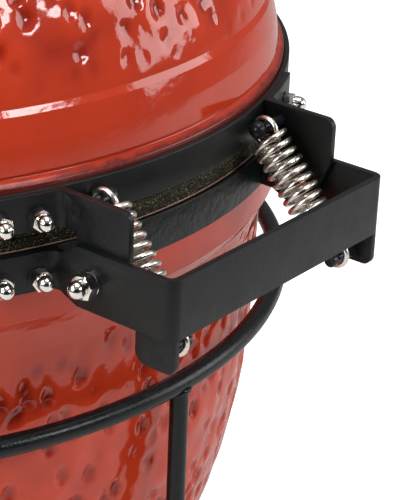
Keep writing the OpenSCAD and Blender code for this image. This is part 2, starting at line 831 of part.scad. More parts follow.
// Pointer on its staff, with a tail that balances it
module dial_needle() {
    r_in = dial_r - 8;
    color("black") dial_place(needle_z) rotate([0, 0, 215]) {
        translate([-0.8, -r_in * 0.35, 0]) cube([1.6, r_in * 1.25, 0.6]);
        translate([-2, -r_in * 0.45, 0]) cube([4, r_in * 0.2, 0.6]);
        translate([0, 0, -needle_z - 6]) cylinder(r = staff_r, h = needle_z + 6.8);
        cylinder(r = 2.6, h = 1.2);
    }
}

module dial_glass() {
    color("lightcyan") dial_place(glass_z) cylinder(r = dial_r - 1 - seat_gap, h = glass_t);
}

// Lock nut on the stem, inside the dome
module dial_nut() {
    dial_place(-nut_seat - 5 - seat_gap) hex_nut(14, stem_r + thread_fit, 5);
}

module draft_frame() {
    y0 = -boss_y - sheet_t;
    rail_y = y0 - sheet_t - 2 * slide_gap - 1.6;
    color("silver") difference() {
        union() {
            translate([-frame_half_w, y0, draft_z - frame_half_h])
                cube([2 * frame_half_w, sheet_t, 2 * frame_half_h]);
            for (s = [0, 1]) translate([0, 0, draft_z]) mirror([0, 0, s]) {
                translate([-frame_half_w, rail_y, door_half_h + slide_gap])
                    cube([2 * frame_half_w, y0 - rail_y + 1, 1.8]);
                translate([-frame_half_w, rail_y, door_half_h - 5])
                    cube([2 * frame_half_w, 1.6, 5 + slide_gap + 1.8]);
            }
        }
        translate([-draft_w / 2, y0 - 1, draft_z - draft_h / 2]) cube([draft_w, sheet_t + 2, draft_h]);
        for (sx = [-1, 1], sz = [-1, 1])
            translate([sx * screw_x, rail_y - 1, draft_z + sz * screw_z])
                rotate([-90, 0, 0]) cylinder(r = screw_r + hole_fit, h = 19);
    }
}

module draft_door() {
    y1 = -boss_y - sheet_t - slide_gap;
    color("silver") difference() {
        translate([-door_half_w, y1 - sheet_t, draft_z - door_half_h])
            cube([2 * door_half_w, sheet_t, 2 * door_half_h]);
        translate([-door_half_w + 14, y1 - sheet_t - 1, draft_z]) rotate([-90, 0, 0])
            cylinder(r = screw_r + thread_fit, h = sheet_t + 2);
    }
}

// Knob riveted to the door
module draft_knob() {
    y0 = -boss_y - 2 * sheet_t - slide_gap;
    color("dimgray") translate([-door_half_w + 14, y0, draft_z]) rotate([90, 0, 0]) {
        translate([0, 0, -sheet_t]) cylinder(r = screw_r, h = sheet_t + 1);
        rotate_extrude() polygon([[0, 0], [6, 0], [5, 3], [5, 7], [9, 10], [9, 15], [7, 17], [0, 18]]);
    }
}

// Screws that hold the frame on the ceramic
module draft_screws() {
    color("silver") for (sx = [-1, 1], sz = [-1, 1])
        translate([sx * screw_x, -boss_y - sheet_t, draft_z + sz * screw_z]) {
            rotate([90, 0, 0]) cylinder(r = 4.4, h = 2.6);
            translate([0, -1, 0]) rotate([-90, 0, 0]) cylinder(r = screw_r, h = 20);
        }
}

// Perforated sheet behind the frame, in the ceramic's recess
module ember_screen() {
    holes_x = 13;
    holes_z = 5;
    hole_pitch = 8.2;
    color("silver") translate([0, -boss_y + screen_t, draft_z]) rotate([90, 0, 0])
        linear_extrude(height = screen_t) difference() {
            translate([-screen_half_w, -screen_half_h]) square([2 * screen_half_w, 2 * screen_half_h]);
            for (i = [0:holes_x - 1], k = [0:holes_z - 1])
                translate([(i - (holes_x - 1) / 2) * hole_pitch, (k - (holes_z - 1) / 2) * hole_pitch])
                    circle(r = 2.9, $fn = 24);
        }
}

// Ceramic bowl that holds the charcoal, with an ash port at its foot towards the draft door
// Floor ring with four wall sections that stand on it, open joints between them for the heat
module firebox() {
    top_z = fire_ring_z - seat_gap;
    floor_z = firebox_z + fire_wall;
    wall_z = floor_z + seat_gap;
    joint_w = 1.2;
    port_w = 80;
    port_h = 28;
    color("wheat") {
        tube(firebox_foot_r, firebox_hole_r, firebox_z, floor_z);
        difference() {
            rotate_extrude() polygon([
                [ledge_in_r, wall_z], [firebox_foot_r, wall_z], [firebox_top_r, top_z],
                [firebox_top_r - fire_wall, top_z], [charcoal_r + 2, ledge_z + 10], [charcoal_r + 2, ledge_z],
                [ledge_in_r, ledge_z]
            ]);
            translate([-port_w / 2, -firebox_top_r, firebox_z])
                cube([port_w, firebox_top_r - firebox_hole_r, fire_wall + port_h]);
            for (a = [45, 135]) rotate([0, 0, a]) translate([-firebox_top_r - 1, -joint_w / 2, firebox_z])
                cube([2 * firebox_top_r + 2, joint_w, top_z - firebox_z + 1]);
        }
    }
}

module fire_ring() {
    color("wheat") tube(firebox_top_r, firebox_top_r - fire_wall, fire_ring_z, fire_ring_z + fire_ring_h);
}

// Parallel bars inside a rim, as a flat pattern
module bars_2d(r, rim, bars, bar_w) {
    step = 2 * (r - rim) / (bars + 1);
    difference() {
        circle(r = r);
        circle(r = r - rim);
    }
    intersection() {
        circle(r = r - rim / 2);
        union() {
            for (i = [1:bars])
                translate([-r + rim + i * step - bar_w / 2, -r]) square([bar_w, 2 * r]);
            for (y = [-r / 2, r / 2]) translate([-r, y - bar_w / 2]) square([2 * r, bar_w]);
        }
    }
}

module charcoal_grate() {
    color("dimgray") translate([0, 0, ledge_z + seat_gap]) linear_extrude(height = 7)
        bars_2d(charcoal_r, 12, 9, 12);
}

module cooking_grate() {
    color("silver") translate([0, 0, grate_z + seat_gap]) linear_extrude(height = grate_t)
        bars_2d(grate_r, 7, grate_bars, grate_bar_w);
}

module stand_ring() {
    color("dimgray") bar_ring(ring_r, ring_d, ring_z);
}

module stand_hub() {
    color("dimgray") bar_ring(hub_r, hub_d, leg_z);
}

// Bar from under the top ring, down, and in along the floor to the hub ring
module stand_leg(angle) {
    color("dimgray") rotate([0, 0, -angle]) difference() {
        union() {
            translate([0, ring_r, leg_z + leg_bend]) cylinder(d = leg_d, h = ring_z - leg_z - leg_bend);
            translate([0, ring_r - leg_bend, leg_z + leg_bend]) rotate([0, 90, 0])
                rotate_extrude(angle = 90) translate([leg_bend, 0]) circle(d = leg_d);
            translate([0, ring_r - leg_bend, leg_z]) rotate([90, 0, 0])
                cylinder(d = leg_d, h = ring_r - leg_bend - hub_r);
        }
        rotate([0, 0, angle]) bar_ring(ring_r, ring_d, ring_z);
        rotate([0, 0, angle]) bar_ring(hub_r, hub_d, leg_z);
    }
}

module stand_leg_rear() stand_leg(0);

module stand_leg_right() stand_leg(120);

module stand_leg_left() stand_leg(-120);

// Rubber feet, each with a saddle for its leg
module stand_feet() {
    color("black") for (a = [0, 120, -120]) rotate([0, 0, -a]) difference() {
        translate([0, foot_at, 0]) cylinder(r = foot_r, h = foot_h);
        translate([0, foot_at + foot_r + 1, leg_z]) rotate([90, 0, 0])
            cylinder(d = leg_d, h = 2 * foot_r + 2);
    }
}

base_shell();
dome_shell();
base_felt();
dome_felt();
upper_band();
lower_band();
upper_clamp_bolt();
lower_clamp_bolt();
upper_clamp_nut();
lower_clamp_nut();
upper_hinge_bracket_left();
upper_hinge_bracket_right();
lower_hinge_bracket();
spring_tab_left();
spring_tab_right();
pivot_bolt_left();
pivot_bolt_right();
pivot_washers();
pivot_nuts();
upper_spring_pin_left();
upper_spring_pin_right();
lower_spring_pin_left();
lower_spring_pin_right();
spring_left();
spring_right();
spring_hook_left();
spring_hook_right();
upper_band_studs();
upper_band_nuts();
lower_band_studs();
lower_band_nuts();
handle_bar();
handle_bracket_left();
handle_bracket_right();
handle_screws();
vent_base();
vent_cap();
daisy_wheel();
vent_pivot_screw();
daisy_knob();
dial_case();
dial_face();
dial_needle();
dial_glass();
dial_nut();
draft_frame();
draft_door();
draft_knob();
draft_screws();
ember_screen();
firebox();
fire_ring();
charcoal_grate();
cooking_grate();
stand_ring();
stand_hub();
stand_leg_rear();
stand_leg_left();
stand_leg_right();
stand_feet();
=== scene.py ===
# Kamado grill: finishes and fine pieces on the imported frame. Metres, +Z up, the hinge towards +Y.
import json
import math
import bpy
from mathutils import Matrix, Vector
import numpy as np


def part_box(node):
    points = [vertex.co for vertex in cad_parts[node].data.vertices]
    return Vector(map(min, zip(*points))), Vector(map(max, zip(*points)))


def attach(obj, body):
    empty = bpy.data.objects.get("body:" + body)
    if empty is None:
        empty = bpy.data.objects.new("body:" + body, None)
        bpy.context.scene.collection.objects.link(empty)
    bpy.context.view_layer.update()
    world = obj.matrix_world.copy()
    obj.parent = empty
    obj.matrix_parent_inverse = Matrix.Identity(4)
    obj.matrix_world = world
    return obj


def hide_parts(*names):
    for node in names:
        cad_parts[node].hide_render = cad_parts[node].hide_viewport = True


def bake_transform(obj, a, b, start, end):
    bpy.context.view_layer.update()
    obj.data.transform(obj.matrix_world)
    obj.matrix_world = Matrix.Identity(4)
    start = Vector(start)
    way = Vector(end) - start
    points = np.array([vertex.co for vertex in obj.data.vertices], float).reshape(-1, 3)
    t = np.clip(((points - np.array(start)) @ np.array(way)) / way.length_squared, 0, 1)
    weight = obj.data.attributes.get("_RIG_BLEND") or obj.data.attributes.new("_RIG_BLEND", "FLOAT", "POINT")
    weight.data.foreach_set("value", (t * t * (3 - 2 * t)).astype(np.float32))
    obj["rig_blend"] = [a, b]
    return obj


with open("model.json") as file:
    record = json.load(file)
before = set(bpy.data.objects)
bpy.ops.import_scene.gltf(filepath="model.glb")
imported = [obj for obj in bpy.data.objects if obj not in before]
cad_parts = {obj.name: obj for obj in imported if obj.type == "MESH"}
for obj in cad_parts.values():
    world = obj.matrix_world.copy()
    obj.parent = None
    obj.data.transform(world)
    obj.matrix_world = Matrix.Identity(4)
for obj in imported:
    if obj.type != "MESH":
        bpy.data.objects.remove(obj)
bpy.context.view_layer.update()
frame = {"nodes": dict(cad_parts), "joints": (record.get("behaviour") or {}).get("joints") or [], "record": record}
joints = {joint["name"]: joint for joint in frame["joints"]}
bodyOf = {node: body for body, nodes in frame["record"]["behaviour"]["bodies"].items() for node in nodes}

# Places that the frame gives
jointZ = (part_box("base_felt")[1].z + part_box("dome_felt")[0].z) / 2   # between the two felts
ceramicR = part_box("dome_shell")[1].x
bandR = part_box("upper_band")[1].x
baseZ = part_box("base_shell")[0].z
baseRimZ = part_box("base_shell")[1].z
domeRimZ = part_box("dome_shell")[0].z
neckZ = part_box("dome_shell")[1].z
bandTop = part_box("upper_band")[1].z

# Camera and light
cameraSet = {"place": (0.7135, 0.8256, 0.79565), "yaw": -142.46, "pitch": 25.33, "roll": 2.4, "lens": 138.9}
lightSet = {
    # name: place, aim, width, height, power, colour
    "sideBox": ((2.9, -0.2, 1.9), (0, 0.1, 0.4), 1.5, 1.3, 60, (1.0, 0.985, 0.96)),
    "keyLamp": ((2.0, -1.0, 2.7), (0, 0.1, 0.4), 0.6, 0.6, 46, (1.0, 0.98, 0.95)),
    "topBox": ((-0.3, 0.4, 3.2), (0, 0.1, 0.3), 2.0, 1.6, 36, (1.0, 1.0, 1.0)),
    "edgeStrip": ((-0.40, 2.4, 1.80), (0.05, 0.25, 0.42), 0.9, 0.36, 20, (0.97, 0.99, 1.0)),
    "rightBox": ((-2.4, 2.2, 1.3), (0, 0.1, 0.4), 1.5, 1.7, 36, (1.0, 0.99, 0.985)),
}
worldSet = {"high": 0.30, "low": 0.16, "dark": 0.05, "darkWay": (0.66, 0.74, 0.15), "darkEdge": 48,
    "darkFull": 22}
floorSet = {"size": 9, "colour": (0.66, 0.655, 0.65), "roughness": 0.7, "glow": 0.75, "speck": 0.4,
    "speckDepth": 0.0001}


def spun(degrees, axis):
    return Matrix.Rotation(math.radians(degrees), 4, axis)


def moved(x, y, z):
    return Matrix.Translation((x, y, z))


def cosD(degrees):
    return math.cos(math.radians(degrees))


def sinD(degrees):
    return math.sin(math.radians(degrees))


def middleOf(node):   # the middle of a node's box
    low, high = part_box(node)
    return (low.x + high.x) / 2, (low.y + high.y) / 2, (low.z + high.z) / 2


def clearSelection():
    if bpy.context.object and bpy.context.object.mode != "OBJECT":
        bpy.ops.object.mode_set(mode="OBJECT")
    bpy.ops.object.select_all(action="DESELECT")


def added(make, name, **settings):   # a new object from one of the tools that add them
    clearSelection()
    make(**settings)
    bpy.context.object.name = name
    return bpy.context.object


def activate(piece):
    clearSelection()
    bpy.context.view_layer.objects.active = piece
    piece.select_set(True)


def editAll(piece):
    activate(piece)
    bpy.ops.object.mode_set(mode="EDIT")
    bpy.ops.mesh.select_mode(type="VERT")
    bpy.ops.mesh.select_all(action="SELECT")


def makeCamera(s):
    turn = spun(s["yaw"] - 90, "Z") @ spun(90 - s["pitch"], "X") @ spun(s["roll"], "Z")
    camera = added(bpy.ops.object.camera_add, "Camera", location=s["place"], rotation=turn.to_euler())
    camera.data.sensor_fit = "VERTICAL"
    camera.data.sensor_height = 36
    camera.data.lens = s["lens"]
    bpy.context.scene.camera = camera


def addNode(tree, kind, settings=None, inputs=None):
    made = tree.nodes.new(kind)
    for key, value in (settings or {}).items():
        setattr(made, key, value)
    for key, value in (inputs or {}).items():
        made.inputs[key].default_value = value
    return made


def makeWorld(s):
    # white to the camera; for light and reflections a soft room that is dim behind the camera
    world = bpy.data.worlds.new("studio")
    bpy.context.scene.world = world
    world.use_nodes = True
    tree = world.node_tree
    link = tree.links.new
    shown = tree.nodes["Background"]
    way = addNode(tree, "ShaderNodeTexCoord")
    split = addNode(tree, "ShaderNodeSeparateXYZ")
    link(way.outputs["Generated"], split.inputs[0])
    rise = addNode(tree, "ShaderNodeMapRange", {"interpolation_type": "SMOOTHSTEP"},
        {"From Min": 0.0, "From Max": 0.6, "To Min": s["low"], "To Max": s["high"]})
    link(split.outputs["Z"], rise.inputs["Value"])
    toward = addNode(tree, "ShaderNodeVectorMath", {"operation": "DOT_PRODUCT"},
        {1: Vector(s["darkWay"]).normalized()})
    link(way.outputs["Generated"], toward.inputs[0])
    dim = addNode(tree, "ShaderNodeMapRange", {"interpolation_type": "SMOOTHSTEP"},
        {"From Min": cosD(s["darkEdge"]), "From Max": cosD(s["darkFull"]), "To Min": 1.0,
        "To Max": s["dark"]})
    link(toward.outputs["Value"], dim.inputs["Value"])
    level = mathOf(tree, "MULTIPLY", rise.outputs[0], dim.outputs[0])
    path = addNode(tree, "ShaderNodeLightPath")
    link(mathOf(tree, "MAXIMUM", level, path.outputs["Is Camera Ray"]), shown.inputs["Strength"])
    shown.inputs["Color"].default_value = (1, 0.995, 0.995, 1)


def makeLights(lights):
    for name, (place, aim, wide, tall, power, colour) in lights.items():
        turn = (Vector(aim) - Vector(place)).to_track_quat("-Z", "Y").to_euler()
        lamp = added(bpy.ops.object.light_add, name, type="AREA", location=place, rotation=turn)
        lamp.data.shape = "RECTANGLE"
        lamp.data.size = wide
        lamp.data.size_y = tall
        lamp.data.energy = power
        lamp.data.color = colour
        lamp.visible_camera = False


# Finishes
def newFinish(name, colour, roughness, metallic=0.0, **more):
    finish = bpy.data.materials.new(name)
    finish.use_nodes = True
    shader = finish.node_tree.nodes["Principled BSDF"]
    shader.inputs["Base Color"].default_value = (*colour, 1)
    shader.inputs["Roughness"].default_value = roughness
    shader.inputs["Metallic"].default_value = metallic
    for key, value in more.items():
        shader.inputs[key.replace("_", " ")].default_value = value
    return finish


def objectSpot(tree):
    return addNode(tree, "ShaderNodeTexCoord").outputs["Object"]


def stretched(tree, spot, factors):
    longer = addNode(tree, "ShaderNodeVectorMath", {"operation": "MULTIPLY"}, {1: factors})
    tree.links.new(spot, longer.inputs[0])
    return longer.outputs[0]


def noise(tree, spot, size, detail=2.0, roughness=0.5):
    made = addNode(tree, "ShaderNodeTexNoise", {}, {"Scale": 1 / size, "Detail": detail,
        "Roughness": roughness})
    tree.links.new(spot, made.inputs["Vector"])
    return made.outputs[0]


def ranged(tree, value, low, high, toLow=0.0, toHigh=1.0, soft=False):
    kind = "SMOOTHSTEP" if soft else "LINEAR"
    made = addNode(tree, "ShaderNodeMapRange", {"interpolation_type": kind},
        {"From Min": low, "From Max": high, "To Min": toLow, "To Max": toHigh})
    tree.links.new(value, made.inputs["Value"])
    return made.outputs[0]


def mathOf(tree, operation, a, b):
    made = addNode(tree, "ShaderNodeMath", {"operation": operation})
    for place, value in enumerate((a, b)):
        if isinstance(value, (int, float)):
            made.inputs[place].default_value = value
        else:
            tree.links.new(value, made.inputs[place])
    return made.outputs[0]


def mixColour(tree, share, a, b):
    made = addNode(tree, "ShaderNodeMix", {"data_type": "RGBA"})
    tree.links.new(share, made.inputs["Factor"])
    for place, value in ((6, a), (7, b)):
        if isinstance(value, tuple):
            made.inputs[place].default_value = (*value, 1)
        else:
            tree.links.new(value, made.inputs[place])
    return made.outputs[2]


# The camera, the room and the lamps
makeCamera(cameraSet)
makeWorld(worldSet)
makeLights(lightSet)
bpy.context.scene.view_settings.view_transform = "Standard"
print("camera and light ready")


def drive(tree, name, value):
    tree.links.new(value, tree.nodes["Principled BSDF"].inputs[name])


def heightOf(tree, spot):
    split = addNode(tree, "ShaderNodeSeparateXYZ")
    tree.links.new(spot, split.inputs[0])
    return split.outputs["Z"]


def setBump(tree, height):
    bump = addNode(tree, "ShaderNodeBump", {}, {"Strength": 1.0, "Distance": 1.0})
    tree.links.new(height, bump.inputs["Height"])
    drive(tree, "Normal", bump.outputs[0])


# Pits hammered in the clay, on soft waves; the same pattern shapes the mesh and the glaze
hammerBase = {"cell": 0.0120, "tall": 0.72, "edge": 0.50, "floor": 0.06, "depth": 0.0024, "wave": 0.026,
    "waveDepth": 0.0016, "warp": 0.35, "clearZ": jointZ - 0.052, "fullZ": jointZ - 0.095}
hammerDome = dict(hammerBase, depth=0.0013, clearZ=jointZ + 0.062, fullZ=jointZ + 0.088,
    lipZ=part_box("upper_band")[1].z + 0.0047)


def hammerHeight(tree, spot, s):
    wobble = addNode(tree, "ShaderNodeTexNoise", {}, {"Scale": 0.7 / s["cell"], "Detail": 1.0})
    tree.links.new(spot, wobble.inputs["Vector"])
    shift = addNode(tree, "ShaderNodeVectorMath", {"operation": "MULTIPLY_ADD"},
        {1: [s["warp"] * s["cell"]] * 3})
    tree.links.new(wobble.outputs[1], shift.inputs[0])
    tree.links.new(spot, shift.inputs[2])
    cells = addNode(tree, "ShaderNodeTexVoronoi", {"feature": "F1"},
        {"Scale": 1 / s["cell"], "Randomness": 0.85})
    tree.links.new(stretched(tree, shift.outputs[0], (1, 1, s["tall"])), cells.inputs["Vector"])
    pit = ranged(tree, cells.outputs["Distance"], s["edge"], s["floor"], 0.0, -s["depth"], True)
    wave = ranged(tree, noise(tree, spot, s["wave"], 1.0), 0.25, 0.75, -s["waveDepth"] / 2,
        s["waveDepth"] / 2)
    fade = ranged(tree, heightOf(tree, spot), s["clearZ"], s["fullZ"], 0.0, 1.0, True)
    return mathOf(tree, "MULTIPLY", mathOf(tree, "ADD", pit, wave), fade)


glazeLook = {"plain": (0.56, 0.034, 0.008), "bright": (0.56, 0.046, 0.014), "brown": (0.44, 0.032, 0.011),
    "pooled": (0.25, 0.014, 0.007), "speck": (0.30, 0.012, 0.006), "thin": (0.070, 0.007, 0.005),
    "thinGrain": (0.24, 0.020, 0.012), "roughness": 0.07, "thinRoughness": 0.24}
feltLook = {"plain": (0.03, 0.03, 0.02), "low": (0.003, 0.003, 0.002), "high": (0.026, 0.024, 0.013),
    "fleck": (0.46, 0.40, 0.18), "torn": (0.30, 0.24, 0.10)}


def makeGlaze(name, s):
    look = glazeLook
    finish = newFinish(name, look["plain"], look["roughness"], IOR=1.47)
    tree = finish.node_tree
    spot = objectSpot(tree)
    height = hammerHeight(tree, spot, s)
    pooled = ranged(tree, height, -s["depth"], 0.0002, 1.0, 0.0)
    cloud = ranged(tree, noise(tree, spot, 0.045, 3.0, 0.6), 0.35, 0.7, 0.0, 0.55)
    body = mixColour(tree, cloud, look["bright"], look["brown"])
    deep = mixColour(tree, pooled, body, look["pooled"])
    speck = ranged(tree, noise(tree, spot, 0.0011, 2.0, 0.7), 0.62, 0.8, 0.0, 0.22)
    colour = mixColour(tree, speck, deep, look["speck"])
    if "lipZ" in s:   # the glaze thins to a dark grain on the lip over the band
        drift = ranged(tree, noise(tree, spot, 0.012, 3.0), 0.3, 0.7, -0.0007, 0.0007)
        ragged = mathOf(tree, "ADD", heightOf(tree, spot), drift)
        thin = ranged(tree, ragged, s["lipZ"] - 0.0022, s["lipZ"] - 0.0004, 1.0, 0.0)
        grain = ranged(tree, noise(tree, spot, 0.0009, 2.0, 0.7), 0.35, 0.70)
        grainy = mixColour(tree, grain, look["thin"], look["thinGrain"])
        colour = mixColour(tree, thin, colour, grainy)
        drive(tree, "Roughness", ranged(tree, thin, 0.0, 1.0, look["roughness"], look["thinRoughness"]))
    drive(tree, "Base Color", colour)
    peel = ranged(tree, noise(tree, spot, 0.0016, 2.0), 0.0, 1.0, -0.000012, 0.000012)
    fine = ranged(tree, noise(tree, spot, 0.006, 1.0), 0.0, 1.0, -0.00005, 0.00005)
    total = mathOf(tree, "ADD", mathOf(tree, "ADD", peel, fine), mathOf(tree, "MULTIPLY", height, 0.4))
    setBump(tree, total)
    return finish


def makeSteelCoat(name, colour, roughness, grain, depth):
    # powder coat: a fine grained skin with a soft shine
    finish = newFinish(name, colour, roughness, IOR=1.34)
    tree = finish.node_tree
    spot = objectSpot(tree)
    skin = noise(tree, spot, grain, 3.0, 0.6)
    waves = noise(tree, spot, 0.012, 2.0)
    height = mathOf(tree, "ADD", ranged(tree, skin, 0.0, 1.0, 0.0, depth),
        ranged(tree, waves, 0.0, 1.0, 0.0, 0.00002))
    setBump(tree, height)
    light = mixColour(tree, ranged(tree, skin, 0.3, 0.75), tuple(c * 0.75 for c in colour),
        tuple(c * 1.45 for c in colour))
    drive(tree, "Base Color", light)
    rough = ranged(tree, waves, 0.3, 0.7, roughness - 0.05, roughness + 0.07)
    drive(tree, "Roughness", rough)
    return finish


def makeMetal(name, colour, roughness, grain, depth, stretch=(1, 1, 1)):
    # bare metal with fine marks, drawn out where stretch is not even
    finish = newFinish(name, colour, roughness, 1.0)
    tree = finish.node_tree
    spot = stretched(tree, objectSpot(tree), stretch)
    marks = noise(tree, spot, grain, 3.0, 0.6)
    setBump(tree, ranged(tree, marks, 0.0, 1.0, 0.0, depth))
    rough = ranged(tree, noise(tree, spot, grain * 8, 2.0), 0.3, 0.75, roughness * 0.7, roughness * 1.5)
    drive(tree, "Roughness", rough)
    tint = mixColour(tree, ranged(tree, marks, 0.3, 0.8), colour, tuple(c * 0.82 for c in colour))
    drive(tree, "Base Color", tint)
    return finish


def makeFelt(name):   # olive felt, brighter and torn where the two strips press together
    look = feltLook
    finish = newFinish(name, look["plain"], 0.95, Sheen_Weight=0.06, Sheen_Roughness=0.6, IOR=1.3)
    tree = finish.node_tree
    spot = objectSpot(tree)
    fibre = stretched(tree, spot, (1, 1, 1.8))
    mat = noise(tree, fibre, 0.0022, 3.0, 0.7)
    dark = mixColour(tree, ranged(tree, mat, 0.40, 0.70), look["low"], look["high"])
    fleck = ranged(tree, noise(tree, fibre, 0.0010, 3.0, 0.6), 0.59, 0.66)
    tuft = ranged(tree, noise(tree, spot, 0.010, 2.0), 0.36, 0.58, 0.35, 1.0)
    body = mixColour(tree, mathOf(tree, "MULTIPLY", fleck, tuft), dark, look["fleck"])
    wander = ranged(tree, noise(tree, spot, 0.007, 3.0, 0.7), 0.3, 0.7, -0.0022, 0.0022)
    height = mathOf(tree, "ADD", mathOf(tree, "SUBTRACT", heightOf(tree, spot), jointZ), wander)
    near = ranged(tree, mathOf(tree, "ABSOLUTE", height, 0.0), 0.0003, 0.0020, 1.0, 0.0, True)
    torn = mathOf(tree, "MULTIPLY", near, ranged(tree, noise(tree, spot, 0.0012, 3.0), 0.56, 0.64, 0.0,
        0.9))
    colour = mixColour(tree, torn, body, look["torn"])
    drive(tree, "Base Color", colour)
    setBump(tree, ranged(tree, mat, 0.0, 1.0, 0.0, 0.0007))
    return finish


def makeWood(name):
    finish = newFinish(name, (0.30, 0.14, 0.05), 0.45, Coat_Weight=0.25, Coat_Roughness=0.25)
    tree = finish.node_tree
    spot = objectSpot(tree)
    grain = noise(tree, stretched(tree, spot, (0.06, 1, 1)), 0.0022, 4.0, 0.65)
    broad = noise(tree, stretched(tree, spot, (0.1, 1, 1)), 0.012, 2.0)
    body = mixColour(tree, ranged(tree, broad, 0.3, 0.7), (0.36, 0.17, 0.06), (0.24, 0.10, 0.033))
    colour = mixColour(tree, ranged(tree, grain, 0.5, 0.75, 0.0, 0.8), body, (0.12, 0.045, 0.016))
    drive(tree, "Base Color", colour)
    setBump(tree, ranged(tree, grain, 0.0, 1.0, 0.00012, 0.0))
    return finish


def makeClay(name, light, dark, pore):
    # unglazed refractory clay, with pores and grog
    finish = newFinish(name, light, 0.92)
    tree = finish.node_tree
    spot = objectSpot(tree)
    cloud = noise(tree, spot, 0.05, 4.0, 0.65)
    grog = noise(tree, spot, 0.0028, 3.0, 0.7)
    body = mixColour(tree, ranged(tree, cloud, 0.35, 0.7), light, dark)
    colour = mixColour(tree, ranged(tree, grog, 0.58, 0.72, 0.0, 0.7), body, tuple(c * 0.4 for c in dark))
    drive(tree, "Base Color", colour)
    setBump(tree, ranged(tree, grog, 0.3, 0.8, pore, 0.0))
    return finish


def makePlain(name, colour, roughness, grain, depth, **more):
    finish = newFinish(name, colour, roughness, **more)
    tree = finish.node_tree
    skin = noise(tree, objectSpot(tree), grain, 3.0, 0.6)
    setBump(tree, ranged(tree, skin, 0.0, 1.0, 0.0, depth))
    tint = mixColour(tree, ranged(tree, skin, 0.3, 0.7), colour, tuple(c * 0.8 for c in colour))
    drive(tree, "Base Color", tint)
    return finish


finishes = {
    "glazeBase": makeGlaze("glazeBase", hammerBase),
    "glazeDome": makeGlaze("glazeDome", hammerDome),
    "bareClay": makeClay("bareClay", (0.60, 0.50, 0.37), (0.42, 0.33, 0.23), 0.0003),
    "fireClay": makeClay("fireClay", (0.62, 0.55, 0.43), (0.45, 0.38, 0.28), 0.0005),
    "blackCoat": makeSteelCoat("blackCoat", (0.0050, 0.0062, 0.0062), 0.36, 0.0012, 0.00014),
    "wrinkleCoat": makeSteelCoat("wrinkleCoat", (0.0050, 0.0062, 0.0062), 0.33, 0.0042, 0.00080),
    "blackBar": makeSteelCoat("blackBar", (0.0045, 0.0060, 0.0066), 0.25, 0.0015, 0.00016),
    "castBlack": makeSteelCoat("castBlack", (0.018, 0.018, 0.019), 0.48, 0.0022, 0.00014),
    "blackPin": makeSteelCoat("blackPin", (0.010, 0.011, 0.014), 0.24, 0.0010, 0.000008),
    "polished": makeMetal("polished", (0.86, 0.83, 0.78), 0.10, 0.0006, 0.000002),
    "springWire": makeMetal("springWire", (0.78, 0.73, 0.66), 0.27, 0.0008, 0.000006),
    "brushed": makeMetal("brushed", (0.62, 0.61, 0.59), 0.28, 0.0006, 0.000010, (0.03, 1, 1)),
    "grateSteel": makeMetal("grateSteel", (0.55, 0.53, 0.50), 0.33, 0.0009, 0.000020),
    "castIron": makeSteelCoat("castIron", (0.030, 0.028, 0.027), 0.62, 0.0030, 0.00025),
    "felt": makeFelt("felt"),
    "wood": makeWood("wood"),
    "dialWhite": makePlain("dialWhite", (0.80, 0.80, 0.77), 0.5, 0.004, 0.00001),
    "dialInk": makePlain("dialInk", (0.02, 0.02, 0.02), 0.5, 0.002, 0.00001),
    "needleRed": makePlain("needleRed", (0.45, 0.02, 0.015), 0.4, 0.002, 0.00001),
    "rubber": makePlain("rubber", (0.022, 0.022, 0.022), 0.75, 0.0016, 0.00008),
    "glass": newFinish("glass", (1, 1, 1), 0.02, Transmission_Weight=1.0, IOR=1.45),
}
print("finishes ready")


# Tools for shaping
def rounded(outline, radius, parts=4, closed=False):
    # the outline with each corner turned into a small curve; a corner may bring a radius of its own
    made = []
    count = len(outline)
    for place, corner in enumerate(outline):
        point = Vector(corner[:2])
        if not closed and place in (0, count - 1):
            made.append(tuple(point))
            continue
        before = Vector(outline[place - 1][:2]) - point
        after = Vector(outline[(place + 1) % count][:2]) - point
        turn = math.pi - before.angle(after)
        size = corner[2] if len(corner) > 2 else radius
        cut = min(size * math.tan(turn / 2), 0.45 * before.length, 0.45 * after.length)
        if cut < 1e-6:
            made.append(tuple(point))
            continue
        start = point + before.normalized() * cut
        end = point + after.normalized() * cut
        for part in range(parts + 1):
            t = part / parts
            made.append(tuple(start * (1 - t) ** 2 + point * 2 * t * (1 - t) + end * t * t))
    return made


def refined(outline, step):
    # long straight stretches of an outline split in even steps
    made = [outline[0]]
    for a, b in zip(outline, outline[1:]):
        parts = max(1, math.ceil(math.dist(a, b) / step))
        made += [(a[0] + (b[0] - a[0]) * i / parts, a[1] + (b[1] - a[1]) * i / parts)
            for i in range(1, parts + 1)]
    return made


def cleaned(piece):
    editAll(piece)
    bpy.ops.mesh.remove_doubles(threshold=1e-6)
    bpy.ops.mesh.normals_make_consistent(inside=False)
    clearSelection()
    return piece


def turned(name, outline, steps, closed=False):
    # a lathe: the outline (radius, height) goes once around the Z axis
    piece = added(bpy.ops.mesh.primitive_plane_add, name, size=0.001)
    editAll(piece)
    bpy.ops.mesh.merge(type="CENTER")
    bpy.ops.transform.translate(value=(outline[0][0], 0, outline[0][1]))
    for a, b in zip(outline, outline[1:] + outline[:1] if closed else outline[1:]):
        bpy.ops.mesh.extrude_region_move(TRANSFORM_OT_translate={"value": (b[0] - a[0], 0, b[1] - a[1])})
    bpy.ops.mesh.select_all(action="SELECT")
    bpy.ops.mesh.remove_doubles(threshold=1e-6)
    bpy.ops.object.mode_set(mode="OBJECT")
    shapeWith(piece, "SCREW", steps=steps, render_steps=steps, use_merge_vertices=True,
        merge_threshold=1e-6)
    return cleaned(piece)


def shapeWith(piece, kind, **settings):
    activate(piece)
    modifier = piece.modifiers.new(kind.lower(), kind)
    for key, value in settings.items():
        setattr(modifier, key, value)
    bpy.ops.object.modifier_apply(modifier=modifier.name)
    return piece


